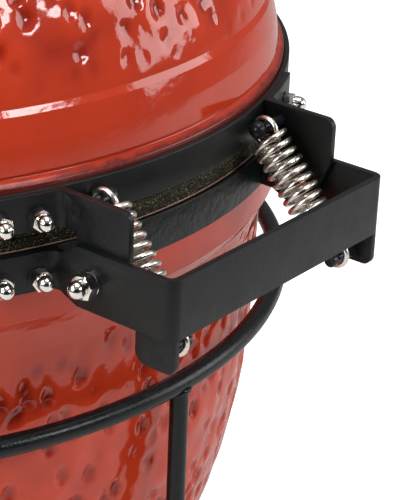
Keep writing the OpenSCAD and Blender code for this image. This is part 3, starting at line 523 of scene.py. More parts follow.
def combine(piece, other, how, solver="EXACT"):
    shapeWith(piece, "BOOLEAN", operation=how, object=other, solver=solver)
    bpy.data.objects.remove(other)
    return piece


def block(name, low, high, bevel=0.0, segments=2):
    low, high = Vector(low), Vector(high)
    piece = added(bpy.ops.mesh.primitive_cube_add, name, size=1, location=(low + high) / 2,
        scale=high - low)
    bpy.ops.object.transform_apply(location=True, rotation=True, scale=True)
    if bevel:
        shapeWith(piece, "BEVEL", width=bevel, segments=segments)
    return piece


def drilled(piece, r, low, high, place, steps, solver="MANIFOLD"):
    hole = turned("hole", [(0, low), (r, low), (r, high), (0, high)], steps)
    return combine(piece, placed(hole, place), "DIFFERENCE", solver)


def placed(piece, matrix):
    activate(piece)
    piece.matrix_world = matrix
    bpy.ops.object.transform_apply(location=True, rotation=True, scale=True)
    return piece


def linked(name, data):
    made = bpy.data.objects.new(name, data)
    bpy.context.collection.objects.link(made)
    return made


def copied(piece, name):
    return linked(name, piece.data.copy())


def joined(pieces, name):
    activate(pieces[0])
    for piece in pieces:
        piece.select_set(True)
    bpy.ops.object.join()
    pieces[0].name = name
    return pieces[0]


def softened(piece, width, segments=2, degrees=33):
    return shapeWith(piece, "BEVEL", width=width, segments=segments, limit_method="ANGLE",
        angle_limit=math.radians(degrees))


def copyOfNode(node, name):
    # a CAD node's mesh, merged into clean faces
    clearSelection()
    piece = linked(name, frame["nodes"][node].data.copy())
    piece.data.materials.clear()
    editAll(piece)
    bpy.ops.mesh.customdata_custom_splitnormals_clear()
    bpy.ops.mesh.remove_doubles(threshold=2e-6)
    bpy.ops.mesh.dissolve_limited(angle_limit=math.radians(1))
    clearSelection()
    return piece


def tubeAlong(name, points, radius, closed=False, sides=16):
    # a round bar or wire along a line of points
    curve = bpy.data.curves.new(name, "CURVE")
    curve.dimensions = "3D"
    curve.bevel_depth = radius
    curve.bevel_resolution = sides // 2 - 2
    curve.use_fill_caps = not closed
    line = curve.splines.new("POLY")
    line.points.add(len(points) - 1)
    line.use_cyclic_u = closed
    for spot, point in zip(line.points, points):
        spot.co = (*point, 1)
    activate(linked(name, curve))
    bpy.ops.object.convert(target="MESH")
    return cleaned(bpy.context.object)


def finished(piece, body, finish, replaces=(), smooth=38):
    # the last step of each piece: finish, shading, and the body it moves with
    activate(piece)
    if finish:
        piece.data.materials.clear()
        piece.data.materials.append(finishes[finish])
    bpy.ops.object.shade_smooth_by_angle(angle=math.radians(smooth))
    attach(piece, body)
    if replaces:
        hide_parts(*replaces)
    return piece


def fromNode(node, name, edge, parts, finish):
    # a CAD node with softened edges and its finish
    return finished(softened(copyOfNode(node, name), edge, parts), bodyOf[node], finish, [node])


def outward(angle, radius, z):
    # stands a piece on the round wall at an angle clockwise from the back, its own +Z pointing outwards
    return spun(-angle, "Z") @ moved(0, radius, z) @ spun(-90, "X")


def alongX(x, y, z, side=1):
    # lays a piece along X from a point, its own +Z towards the grill's side
    return moved(side * x, y, z) @ spun(90 * side, "Y")


def pressHammer(piece, s):
    # the hammer marks pushed into the mesh itself
    tree = bpy.data.node_groups.new(piece.name + "Hammer", "GeometryNodeTree")
    tree.interface.new_socket("Geometry", in_out="INPUT", socket_type="NodeSocketGeometry")
    tree.interface.new_socket("Geometry", in_out="OUTPUT", socket_type="NodeSocketGeometry")
    link = tree.links.new
    coming = addNode(tree, "NodeGroupInput")
    going = addNode(tree, "NodeGroupOutput")
    spot = addNode(tree, "GeometryNodeInputPosition")
    height = hammerHeight(tree, spot.outputs[0], s)
    push = addNode(tree, "ShaderNodeVectorMath", {"operation": "SCALE"})
    link(addNode(tree, "GeometryNodeInputNormal").outputs[0], push.inputs[0])
    link(height, push.inputs["Scale"])
    move = addNode(tree, "GeometryNodeSetPosition")
    link(coming.outputs[0], move.inputs["Geometry"])
    link(push.outputs[0], move.inputs["Offset"])
    link(move.outputs[0], going.inputs[0])
    shapeWith(piece, "NODES", node_group=tree)


# Ceramic shells
domeSet = {"rise": 0.235, "middle": 0.016, "ridge": 0.0618, "ridgeIn": 0.0108, "wall": 0.020,
           "neckR": 0.060, "neckWall": 0.012, "turns": 620, "rows": 106, "seatR": 0.012, "seatDeep": 0.0014,
           "stemR": 0.0042, "stemDeep": 0.06,
           # inset, height over the band or the joint, and edge radius of each corner
           "lip": ((0, 0.0022, 0.0009), (0.0024, 0.0036, 0.0008), (0.0042, 0.0052, 0.0006),
                   (0.0031, 0.0068, 0.0014)),
           "step": ((0.0055, 0.0446, 0.0012), (0.0058, 0.0462, 0.0012))}
baseSet = {"belly": 0.0102, "bellyZ": 0.095, "pull": 0.338, "power": 2.45, "wall": 0.026, "floor": 0.030,
           "turns": 620, "rows": 112, "bossWide": 0.088, "bossTall": 0.047, "bossDeep": 0.04,
           "bossEdge": 0.004, "portWide": 0.056, "portTall": 0.026, "screenWide": 0.0643,
           "screenTall": 0.0323, "screenDeep": 0.00105,
           "shoulder": ((0.0090, 0.070, 0.02), (0.0067, 0.060, 0.004), (0.0052, 0.054, 0.0010),
                        (0.0006, 0.0465, 0.0006), (0, 0.0457, 0.0006))}
rimInR = ceramicR - baseSet["wall"]
ridgeR = ceramicR - domeSet["ridgeIn"]
domeA = ridgeR / math.sqrt(1 - ((domeSet["ridge"] - domeSet["middle"]) / domeSet["rise"]) ** 2)
bellyR = ceramicR - baseSet["belly"]
bellyZ = jointZ - baseSet["bellyZ"]


def domeLine(a, rise, endR, count):
    start = math.asin((domeSet["ridge"] - domeSet["middle"]) / rise)
    end = math.acos(endR / a)
    return [(a * math.cos(start + (end - start) * i / count),
             jointZ + domeSet["middle"] + rise * math.sin(start + (end - start) * i / count))
            for i in range(count + 1)]


def baseLine(z):
    drop = max(0, bellyZ - z) / (bellyZ - baseZ)
    return bellyR * (1 - baseSet["pull"] * drop ** baseSet["power"])


def glazeOutside(piece, glaze, inner):
    # glaze outside, bare clay on the inner wall and the rim
    piece.data.materials.clear()
    piece.data.materials.append(finishes[glaze])
    piece.data.materials.append(finishes["bareClay"])
    for face in piece.data.polygons:
        x, y, z = face.center
        face.material_index = 1 if math.hypot(x, y) < inner(z) else 0


def makeDome(s):
    lip = [(0, domeRimZ), (ceramicR, domeRimZ, 0.0006)]
    lip += [(ceramicR - inset, bandTop + up, edge) for inset, up, edge in s["lip"]]
    lip += [(ceramicR - inset, jointZ + up, edge) for inset, up, edge in s["step"]]
    lip += [(ridgeR + 0.0017, jointZ + s["ridge"] - 0.0026, 0.0016),
        (ridgeR - 0.0002, jointZ + s["ridge"] + 0.0008, 0.0016)]
    curve = domeLine(domeA, s["rise"], s["neckR"] + 0.004, s["rows"])[1:]
    neck = [(s["neckR"] + 0.0004, curve[-1][1] + 0.004), (s["neckR"], curve[-1][1] + 0.008),
        (s["neckR"], neckZ, 0.002), (0, neckZ)]
    outline = rounded(lip + curve[:1], 0.001, 3)[:-1] + curve + rounded(neck, 0.002)
    shell = turned("domeShell", outline, s["turns"])
    pressHammer(shell, hammerDome)
    inA, inRise = domeA - s["wall"], s["rise"] - s["wall"]
    inNeck = s["neckR"] - s["neckWall"]
    hollow = turned("domeHollow", [(0, domeRimZ - 0.01), (rimInR, domeRimZ - 0.01), (rimInR, jointZ + 0.031)]
                    + domeLine(inA, inRise, inNeck, 30)
                    + [(inNeck, neckZ + 0.01), (0, neckZ + 0.01)], 160)
    combine(shell, hollow, "DIFFERENCE", "MANIFOLD")
    drilled(shell, s["seatR"], -s["seatDeep"], 0.02, dialPlace(), 48)
    drilled(shell, s["stemR"], -s["stemDeep"], 0.02, dialPlace(), 32)
    middle = jointZ + s["middle"]

    def inner(z):
        if z < domeRimZ + 0.0004:
            return 1.0
        share = max(0.0, 1 - ((z - middle) / (s["rise"] - 0.006)) ** 2)
        return max((domeA - 0.012) * math.sqrt(share) if z > jointZ + 0.05 else ceramicR - 0.012,
            s["neckR"] - 0.006)

    glazeOutside(shell, "glazeDome", inner)
    finished(shell, "lid", None, ["dome_shell"], 42)


def dialPlace():
    needle = joints["needle_turn"]
    normal = -Vector(needle["axis"]).normalized()
    return (Matrix.Translation(needle["pos_m"])
            @ Vector((0, 0, 1)).rotation_difference(normal).to_matrix().to_4x4())


def makeBase(s):
    bottom = [(0, baseZ), (baseLine(baseZ), baseZ, 0.006)]
    rows = s["rows"]
    curve = [(baseLine(z), z) for z in (baseZ + (bellyZ - baseZ) * i / rows for i in range(3, rows + 1))]
    top = [(ceramicR - inset, jointZ - drop, edge) for inset, drop, edge in s["shoulder"]]
    top += [(ceramicR, baseRimZ, 0.0002), (0, baseRimZ)]
    start = rounded(bottom + curve[:1], 0.006, 6)[:-1]
    outline = start + curve + rounded(curve[-1:] + top, 0.001, 4)[1:]
    shell = turned("baseShell", outline, s["turns"])
    pressHammer(shell, hammerBase)
    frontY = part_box("draft_frame")[1].y
    portZ = middleOf("ember_screen")[2]
    boss = block("boss", (-s["bossWide"], frontY, portZ - s["bossTall"]),
        (s["bossWide"], frontY + s["bossDeep"], portZ + s["bossTall"]), s["bossEdge"], 4)
    combine(shell, boss, "UNION", "MANIFOLD")
    floorZ = baseZ + s["floor"]
    wall = [(baseLine(z) - s["wall"], z) for z in (floorZ + (bellyZ - floorZ) * i / 24 for i in range(25))]
    hollow = turned("baseHollow", [(0, floorZ)] + wall
                    + [(rimInR, jointZ - 0.060), (rimInR, baseRimZ + 0.01), (0, baseRimZ + 0.01)], 160)
    combine(shell, hollow, "DIFFERENCE", "MANIFOLD")
    for wide, tall, deep in ((s["portWide"], s["portTall"], 0.08),
                             (s["screenWide"], s["screenTall"], s["screenDeep"])):
        port = block("port", (-wide, frontY - 0.02, portZ - tall), (wide, frontY + deep, portZ + tall))
        combine(shell, port, "DIFFERENCE", "MANIFOLD")
    glazeOutside(shell, "glazeBase", lambda z: 1.0 if z > baseRimZ - 0.0004 else baseLine(z) - 0.014)
    finished(shell, "base", None, ["base_shell"], 42)


makeDome(domeSet)
makeBase(baseSet)
print("shells ready")

# Felts between the rims
feltSet = {"turns": 1300, "bulge": 0.0012, "overhang": 0.0003, "nap": 0.0011, "napSize": 0.0015,
    "step": 0.0014, "deep": 0.028, "footIn": 0.35, "topIn": 0.6, "edge": 0.0008}


def makeFelts(s):
    nap = bpy.data.textures.new("nap", "CLOUDS")
    nap.noise_scale = s["napSize"]
    nap.noise_depth = 1
    for name, node in (("baseFelt", "base_felt"), ("domeFelt", "dome_felt")):
        low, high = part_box(node)
        outer, inner = high.x + s["bulge"], high.x - s["deep"]
        foot = ceramicR + s["overhang"] if name == "baseFelt" else outer - s["bulge"] * s["footIn"]
        ring = rounded([(inner, low.z), (foot, low.z), (outer, (low.z + high.z) / 2),
            (outer - s["bulge"] * s["topIn"], high.z), (inner, high.z)], s["edge"], 3, True)
        felt = turned(name, refined(ring + ring[:1], s["step"])[:-1], s["turns"], True)
        shapeWith(felt, "DISPLACE", texture=nap, strength=s["nap"], mid_level=0.6, texture_coords="LOCAL")
        finished(felt, bodyOf[node], "felt", [node], 80)


# Steel bands
bandSet = {"thick": 0.003, "edge": 0.0006, "turns": 400, "slit": 0.004, "earOut": 0.017, "earThick": 0.003,
    "earIn": 0.0015, "earEdge": 0.0005, "boltIn": 0.008, "boltHole": 0.00325}


def makeBands(s):
    for name, node in (("upperBand", "upper_band"), ("lowerBand", "lower_band")):
        low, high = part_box(node)
        z0, z1, outer = low.z, high.z, high.x
        inner = outer - s["thick"]
        band = turned(name, rounded([(inner, z0), (outer, z0), (outer, z1), (inner, z1)], s["edge"], 3, True),
                      s["turns"], True)
        for side in (-1, 1):
            x0, x1 = sorted((side * s["slit"], side * (s["slit"] + s["earThick"])))
            ear = block("ear", (x0, -outer - s["earOut"], z0), (x1, -outer + s["earIn"], z1), s["earEdge"])
            combine(band, ear, "UNION")
        combine(band, block("slit", (-s["slit"], -outer - 0.03, z0 - 0.01),
            (s["slit"], -outer + 0.01, z1 + 0.01)), "DIFFERENCE")
        bolt = alongX(0, -outer - s["earOut"] + s["boltIn"], (z0 + z1) / 2)
        drilled(band, s["boltHole"], -0.02, 0.02, bolt, 32, "EXACT")
        finished(band, bodyOf[node], "wrinkleCoat" if node == "lower_band" else "blackCoat",
            [node])


# Bent hinge plates and the nuts beside them
nutShape = {"chamfer": 1.25, "face": 0.97, "spread": 1.7, "drop": 0.8, "soft": 0.015, "wall": 0.34,
    "neck": 0.90, "under": 0.08, "step": 0.16}
smallNut = {"flats": 0.010, "hex": 0.0048, "tall": 0.0118, "washerR": 0.0060, "washer": 0.0007,
    "cap": 0.425, "bore": 0.0031, "seat": 0.0035, "spin": 17}
pivotNut = {"flats": 0.012, "hex": 0.0060, "tall": 0.0135, "washerR": 0.0063, "washer": 0.0016,
    "cap": 0.385, "bore": 0.0042, "spin": 11}
hingeSet = {"edge": 0.0006, "fillet": 0.0036, "near": 0.0008, "under": 0.002, "over": 0.0002, "beyond": 0.1}


def filletAt(piece, x, y, s):
    # rounds the upright inside corners that stand at (x, y) in plan
    activate(piece)
    points = piece.data.vertices
    bpy.ops.object.mode_set(mode="EDIT")
    bpy.ops.mesh.select_all(action="DESELECT")
    bpy.ops.object.mode_set(mode="OBJECT")
    for edge in piece.data.edges:
        ends = [points[i].co for i in edge.vertices]
        edge.select = all(math.hypot(end.x - x, end.y - y) < s["near"] for end in ends)
    bpy.ops.object.mode_set(mode="EDIT")
    bpy.ops.mesh.select_mode(type="EDGE")
    bpy.ops.mesh.bevel(offset=s["fillet"], segments=5, affect="EDGES")
    clearSelection()


def makeHingePlates(s):
    flangeR = max(math.hypot(v.co.x, v.co.y) for v in frame["nodes"]["lower_hinge_bracket"].data.vertices
        if baseRimZ - s["under"] < v.co.z < baseRimZ + s["over"] and abs(v.co.x) > s["beyond"])
    for node in ("lower_hinge_bracket", "upper_hinge_bracket_left", "upper_hinge_bracket_right",
            "spring_tab_left", "spring_tab_right"):
        first, *rest = node.split("_")
        plate = copyOfNode(node, first + "".join(word.capitalize() for word in rest))
        if "bracket" in node:
            low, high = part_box("upper_spring_pin_right" if "upper" in node else "pivot_washers")
            bendX = high.x if "upper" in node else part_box("pivot_washers")[1].x - pivotNut["washer"]
            for side in (-1, 1):
                filletAt(plate, side * bendX, math.sqrt(flangeR ** 2 - bendX ** 2), s)
        softened(plate, s["edge"], 3)
        finished(plate, bodyOf[node], "blackCoat", [node])


# Nuts, pins and washers
def makeCapNut(name, s):
    corner = s["flats"] / 2 / cosD(30)
    nut = added(bpy.ops.mesh.primitive_cylinder_add, name, vertices=6, radius=corner, depth=s["hex"],
        location=(0, 0, s["hex"] / 2))
    bpy.ops.object.transform_apply(location=True, rotation=True, scale=True)
    cut = (corner - s["flats"] / 2) * nutShape["chamfer"]
    flat = s["flats"] / 2 * nutShape["face"]
    wide, drop = flat + cut * nutShape["spread"], cut * nutShape["drop"]
    cone = turned("cone", [(0, -0.0002), (flat, -0.0002), (wide, drop), (wide, s["hex"] - drop),
        (flat, s["hex"] + 0.0001), (0, s["hex"] + 0.0001)], 48)
    combine(nut, cone, "INTERSECT")
    softened(nut, s["flats"] * nutShape["soft"], 1, 25)
    r, wall = s["flats"] * s["cap"], s["hex"] + (s["tall"] - s["hex"]) * nutShape["wall"]
    neck, step = r * nutShape["neck"], s["hex"] + r * nutShape["step"]
    arc = [(r * cosD(9 * i), wall + (s["tall"] - wall) * sinD(9 * i)) for i in range(1, 10)]
    dome = turned("cap", [(0, s["hex"] / 2), (neck, s["hex"] / 2), (neck, s["hex"] + r * nutShape["under"]),
        (r, step), (r, wall)] + arc + [(0, s["tall"])], 48)
    return joined([nut, dome], name)


def washerLine(s, edge):
    return rounded([(s["bore"], 0), (s["washerR"], 0), (s["washerR"], s["washer"]),
        (s["bore"], s["washer"])], edge, 2, True)


def makeBandNuts():
    pattern = makeCapNut("nutPattern", smallNut)
    ring = washerLine(smallNut, 0.0002)
    washer = turned("washerPattern", ring, 40, True)
    for name, node, body in (("upperBandNuts", "upper_band_nuts", "lid"),
            ("lowerBandNuts", "lower_band_nuts", "base")):
        z = middleOf(node)[2]
        nuts, washers = [], []
        for number, angle in enumerate(nutAngles(node)):
            spin = spun(smallNut["spin"] * number, "Z")
            base = outward(angle, bandR + smallNut["seat"], z)
            nuts.append(placed(copied(pattern, name), base @ moved(0, 0, smallNut["washer"]) @ spin))
            washers.append(placed(copied(washer, name + "Washers"), base))
        finished(joined(nuts, name), body, "polished", [node], 30)
        finished(joined(washers, name + "Washers"), body, "blackPin")
    bpy.data.objects.remove(pattern)
    bpy.data.objects.remove(washer)


def nutAngles(node):
    # the angles of a node's nuts, clockwise from the back, from its corners farthest out
    found = []
    for v in frame["nodes"][node].data.vertices:
        reach = math.hypot(v.co.x, v.co.y)
        if reach > bandR + smallNut["seat"] + smallNut["tall"] * 0.97:
            angle = math.degrees(math.atan2(v.co.x, v.co.y))
            if all(abs(angle - other) > 1.5 for other in found):
                found.append(angle)
    return sorted(found)


def makePivots():
    pivot = joints["lid_hinge"]["pos_m"]
    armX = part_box("pivot_washers")[1].x - pivotNut["washer"]
    pattern = makeCapNut("pivotPattern", pivotNut)
    ring = washerLine(pivotNut, 0.0003)
    nuts, washers = [], []
    for side in (-1, 1):
        spin = spun(pivotNut["spin"], "Z")
        nuts.append(placed(copied(pattern, "pivotNuts"),
                           alongX(armX + pivotNut["washer"], pivot[1], pivot[2], side) @ spin))
        washers.append(placed(turned("pivotWashers", ring, 48, True),
            alongX(armX, pivot[1], pivot[2], side)))
    finished(joined(nuts, "pivotNuts"), "base", "polished", ["pivot_nuts"], 30)
    finished(joined(washers, "pivotWashers"), "base", "polished", ["pivot_washers"])
    bpy.data.objects.remove(pattern)


pinSet = {"x": 0.0675, "ballIn": 0.0074, "neck": 0.0031, "ball": 0.0048, "lowerR": 0.0034,
    "lowerNeck": 0.0025, "groove": 0.0022, "headR": 0.0036, "headIn": 0.008, "coated": 0.0003}


def coatEnd(piece, reach):   # a riveted end is painted over with its plate
    piece.data.materials.append(finishes["blackCoat"])
    for face in piece.data.polygons:
        if abs(face.center.x) > reach:
            face.material_index = 1


def makeSpringPins(s):
    (_, y, z), x1 = middleOf("upper_spring_pin_right"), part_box("upper_spring_pin_right")[1].x
    arc = [(s["ball"] * sinD(a), -s["ball"] * cosD(a)) for a in range(10, 141, 10)]
    top = s["x"] - s["ballIn"]
    line = [(0, top - s["ball"])] + [(r, top + h) for r, h in arc] + [(s["neck"], x1), (0, x1)]
    (_, y2, z2), x2 = middleOf("lower_spring_pin_right"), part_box("lower_spring_pin_right")[1].x
    head, grooveIn, grooveOut = s["x"] - s["headIn"], s["x"] - s["groove"], s["x"] + s["groove"]
    line2 = rounded([(0, head), (s["headR"], head, 0.0012), (s["headR"], grooveIn - 0.0004, 0.0006),
        (s["lowerNeck"], grooveIn + 0.0002, 0.0004), (s["lowerNeck"], grooveOut, 0.0004),
        (s["lowerR"], grooveOut + 0.0006, 0.0005), (s["lowerR"], x2), (0, x2)], 0.0005)
    for place, outline, py, pz, body in (("upper", line, y, z, "lid"), ("lower", line2, y2, z2, "base")):
        for side, way in ((1, "right"), (-1, "left")):
            pin = turned(place + "SpringPin" + way.capitalize(), outline, 48)
            placed(pin, alongX(0, py, pz, side))
            pin = finished(pin, body, "blackPin", [f"{place}_spring_pin_{way}"], 40)
            coatEnd(pin, (x1 if place == "upper" else x2) - s["coated"])


makeFelts(feltSet)
makeBands(bandSet)
print("felts and bands ready")
makeHingePlates(hingeSet)
makeBandNuts()
makePivots()
makeSpringPins(pinSet)
print("hinge ready")

# Springs
springSet = {"wire": 0.0016, "coilR": 0.0095, "loopR": 0.0072, "turns": 12.5, "perTurn": 44, "sides": 16,
    "upperPinR": 0.0032, "lowerPinR": 0.0026, "gap": 0.00015, "lean": 0.0036, "phase": 90, "lowOut": 0.0,
    "highOut": 0.0014, "settle": 9, "startUp": 0.75, "endDown": 0.35, "ease": 0.36,
    "lowTurn": (-215, 61, 9), "highTurn": (-60, 216, 9)}


def hookPoints(s, span, out, way, middle):
    # the loop on a pin; it leans out over its first or last few points
    turn = [math.radians(degrees) for degrees in range(*s[span])]
    steps = [k if way > 0 else len(turn) - k for k in range(len(turn))]
    return [(out * min(1.0, k / s["settle"]), way * s["loopR"] * math.cos(a),
        middle + s["loopR"] * math.sin(a)) for k, a in zip(steps, turn)]


def makeSprings(s):
    upper = Vector((0, *middleOf("upper_spring_pin_right")[1:]))
    lower = Vector((0, *middleOf("lower_spring_pin_right")[1:]))
    way = upper - lower
    length = way.length
    lowLoop = s["loopR"] - s["wire"] - s["lowerPinR"] - s["gap"]
    highLoop = length - (s["loopR"] - s["wire"] - s["upperPinR"] - s["gap"])
    z0, z1 = lowLoop + s["loopR"] * s["startUp"], highLoop - s["loopR"] * s["endDown"]
    tilt = Matrix.Rotation(math.atan2(-way.y, way.z), 4, "X")
    ease = s["ease"] * s["perTurn"]
    for side, name in ((1, "right"), (-1, "left")):
        points = hookPoints(s, "lowTurn", side * s["lowOut"], -1, lowLoop)
        count = round(s["turns"] * s["perTurn"])
        for i in range(2, count - 1):   # the coil, which swings out from one loop and in to the other
            t = i / count
            share = math.sin(min(1.0, i / ease, (count - i) / ease) * math.pi / 2) ** 0.7
            r = s["loopR"] * 0.5 + (s["coilR"] - s["loopR"] * 0.5) * share
            a = math.radians(s["phase"]) - side * 2 * math.pi * s["turns"] * t
            points.append((r * math.cos(a), r * math.sin(a), z0 + (z1 - z0) * t))
        points += hookPoints(s, "highTurn", side * s["highOut"], 1, highLoop)
        points = [(x - side * s["lean"] * z / length, y, z) for x, y, z in points]
        place = moved(side * pinSet["x"], lower.y, lower.z) @ tilt
        spring = tubeAlong("spring" + name.capitalize(), points, s["wire"], False, s["sides"])
        placed(spring, place)
        activate(spring)
        spring.data.materials.append(finishes["springWire"])
        bpy.ops.object.shade_smooth_by_angle(angle=math.radians(60))
        start, end = place @ Vector((0, 0, z0)), place @ Vector((0, 0, z1))
        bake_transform(spring, f"spring_{name}_coil", f"spring_{name}_end", start=start, end=end)
        evenPull(spring, start, end)
        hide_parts(f"spring_{name}", f"spring_hook_{name}")


def evenPull(spring, start, end):
    # each turn of a coil closes by the same share, so the pull is even from end to end
    along = end - start
    shares = spring.data.attributes["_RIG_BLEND"].data
    for point, share in zip(spring.data.vertices, shares):
        share.value = min(1.0, max(0.0, (point.co - start).dot(along) / along.length_squared))


makeSprings(springSet)
print("springs ready")

# Stand
standSet = {"ringBar": 0.0057, "legBar": 0.0052, "bend": 0.026, "weld": 0.0013, "turns": 320, "sides": 24,
    "proud": 0.0004, "sunk": 0.0008, "lift": 0.0002, "ripple": 0.0009, "rippleSize": 0.0022,
    "footEdge": 0.0016}


def makeStand(s):
    ringR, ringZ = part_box("stand_ring")[1].x - s["ringBar"], middleOf("stand_ring")[2]
    hubR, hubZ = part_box("stand_hub")[1].x - s["ringBar"], middleOf("stand_hub")[2]
    for name, node, r, z in (("standRing", "stand_ring", ringR, ringZ),
            ("standHub", "stand_hub", hubR, hubZ)):
        angles = [2 * math.pi * i / s["sides"] for i in range(s["sides"])]
        bar = [(r + s["ringBar"] * math.cos(a), z + s["ringBar"] * math.sin(a)) for a in angles]
        finished(turned(name, bar, s["turns"], True), "base", "blackBar", [node], 60)
    for way, angle in (("rear", 0), ("right", 120), ("left", -120)):
        turn = spun(-angle, "Z")
        arc = [(0, ringR - s["bend"] + s["bend"] * cosD(5 * i), hubZ + s["bend"] - s["bend"] * sinD(5 * i))
            for i in range(19)]
        leg = tubeAlong("standLeg" + way.capitalize(), [(0, ringR, ringZ)] + arc + [(0, hubR, hubZ)],
            s["legBar"], False, 24)
        placed(leg, turn)
        finished(leg, "base", "blackBar", ["stand_leg_" + way], 60)
        beads = []
        for r, z, up in ((ringR, ringZ, True), (hubR, hubZ, False)):
            line = []
            for i in range(48):
                a = 2 * math.pi * i / 48
                u, w = (s["legBar"] + s["proud"]) * math.cos(a), (s["legBar"] + s["proud"]) * math.sin(a)
                across = min(abs(u), s["ringBar"] - s["sunk"])
                drop = math.sqrt(max(0, s["ringBar"] ** 2 - across ** 2)) + s["lift"]
                line.append((w, r + u, z - drop) if up else (w, r + drop, z + u))
            bead = tubeAlong("bead", line, s["weld"], True, 10)
            beads.append(placed(bead, turn))
        weld = joined(beads, "standWeld" + way.capitalize())
        ripple = bpy.data.textures.new("ripple", "CLOUDS")
        ripple.noise_scale = s["rippleSize"]
        shapeWith(weld, "DISPLACE", texture=ripple, strength=s["ripple"], mid_level=0.4,
            texture_coords="LOCAL")
        finished(weld, "base", "blackBar", (), 70)
    fromNode("stand_feet", "standFeet", s["footEdge"], 3, "rubber")


makeStand(standSet)
print("stand ready")

# Handle
handleSet = {"end": 0.003, "screwR": 0.0055, "screwTall": 0.0033, "socket": 0.0023, "endIn": 0.0006,
    "flare": 0.02, "edge": 0.003, "plateEdge": 0.0008}


def makeHandle(s):
    low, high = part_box("handle_bar")
    r, (_, y, z) = (high.z - low.z) / 2, middleOf("handle_bar")
    endR, flare = r - s["endIn"], s["flare"]
    line = [(0, low.x), (endR, low.x, s["end"]), (r, low.x + flare, flare), (r, high.x - flare, flare),
        (endR, high.x, s["end"]), (0, high.x)]
    bar = turned("handleBar", rounded(line, s["edge"], 6), 72)
    finished(placed(bar, alongX(0, y, z)), "lid", "wood", ["handle_bar"])
    for way in ("left", "right"):
        fromNode("handle_bracket_" + way, "handleBracket" + way.capitalize(), s["plateEdge"], 3,
            "blackCoat")
    screws = []
    for side in (-1, 1):
        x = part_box("handle_screws")[1].x
        screw = buttonHead("handleScrews", s["screwR"], s["screwTall"], s["socket"])
        screws.append(placed(screw, alongX(x - s["screwTall"], y, z, side)))
    finished(joined(screws, "handleScrewHeads"), "lid", "polished", ["handle_screws"], 30)


def buttonHead(name, r, tall, socket):
    # a low domed head with a hexagon socket
    straight, shank, sunk = 0.25, 0.004, 0.9
    arc = [(r * cosD(a), tall * straight + tall * (1 - straight) * sinD(a)) for a in range(0, 80, 10)]
    head = turned(name, [(0, -shank), (r * 0.5, -shank), (r * 0.5, 0), (r, 0)] + arc + [(0, tall)], 40)
    hexagon = added(bpy.ops.mesh.primitive_cylinder_add, "socket", vertices=6, radius=socket, depth=tall,
        location=(0, 0, tall * sunk))
    return combine(head, hexagon, "DIFFERENCE")


makeHandle(handleSet)
print("handle ready")

# Top vent
ventSet = {
    "castings": {"vent_base": ("ventBase", 0.0012), "vent_cap": ("ventCap", 0.0010),
                 "daisy_wheel": ("daisyWheel", 0.0007)},
    # radius, height and edge radius of each corner
    "knob": ((0, -0.004), (0.0025, -0.004), (0.0025, 0), (0.007, 0, 0.0005), (0.007, 0.003, 0.0012),
             (0.005, 0.007, 0.004), (0.005, 0.010, 0.004), (0.011, 0.014, 0.003), (0.012, 0.019, 0.003),
             (0.009, 0.0235, 0.004), (0, 0.025)),
    "knobTall": 0.025, "knobEdge": 0.001, "screwR": 0.005, "screwTall": 0.0035, "socket": 0.002,
}


def makeVent(s):
    for node, (name, edge) in s["castings"].items():
        fromNode(node, name, edge, 3, "castBlack")
    (x, y, _), z = middleOf("daisy_knob"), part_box("daisy_knob")[1].z - s["knobTall"]
    knob = placed(turned("daisyKnob", rounded(s["knob"], s["knobEdge"], 4), 64), moved(x, y, z))
    finished(knob, bodyOf["daisy_knob"], "blackPin", ["daisy_knob"], 50)
    (x, y, _), z = middleOf("vent_pivot_screw"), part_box("vent_pivot_screw")[1].z - s["screwTall"]
    screw = buttonHead("ventPivotScrew", s["screwR"], s["screwTall"], s["socket"])
    finished(placed(screw, moved(x, y, z)), "lid", "polished", (), 30)


makeVent(ventSet)

# Thermometer
dialSet = {
    "r": 0.031, "base": 0.004, "deep": 0.013, "sheet": 0.0015, "face": 0.0008, "tick": 0.0225,
    "numbers": (50, 100, 150, 200, 250, 300, 350), "first": -145, "sweep": 290, "numberIn": 0.0045,
    "letter": 0.0052, "ink": 0.00005,
    "bossR": 0.011, "bossDeep": 0.0014, "stemR": 0.003, "tipR": 0.0022, "stemDeep": 0.078, "tip": 0.004,
    # inset, drop below the rim and edge radius of each corner of the case
    "rim": ((0, 0.004, 0.0008), (0.0006, 0.0035, 0.0004), (0, 0.003, 0.0008), (0, 0.0006, 0.0012),
            (0.0012, 0, 0.0010), (0.0030, 0.0016, 0.0006), (0.0030, 0.006, 0.0003),
            (0.0012, 0.006, 0.0002)),
    "lensIn": 0.0013, "lensLow": 0.0036, "lensEdge": 0.0022, "lensRise": 0.0010, "needleEdge": 0.0001,
    "marks": {True: (0.0030, 0.0004), False: (0.0016, 0.00025)},   # length and half width, long marks first
}


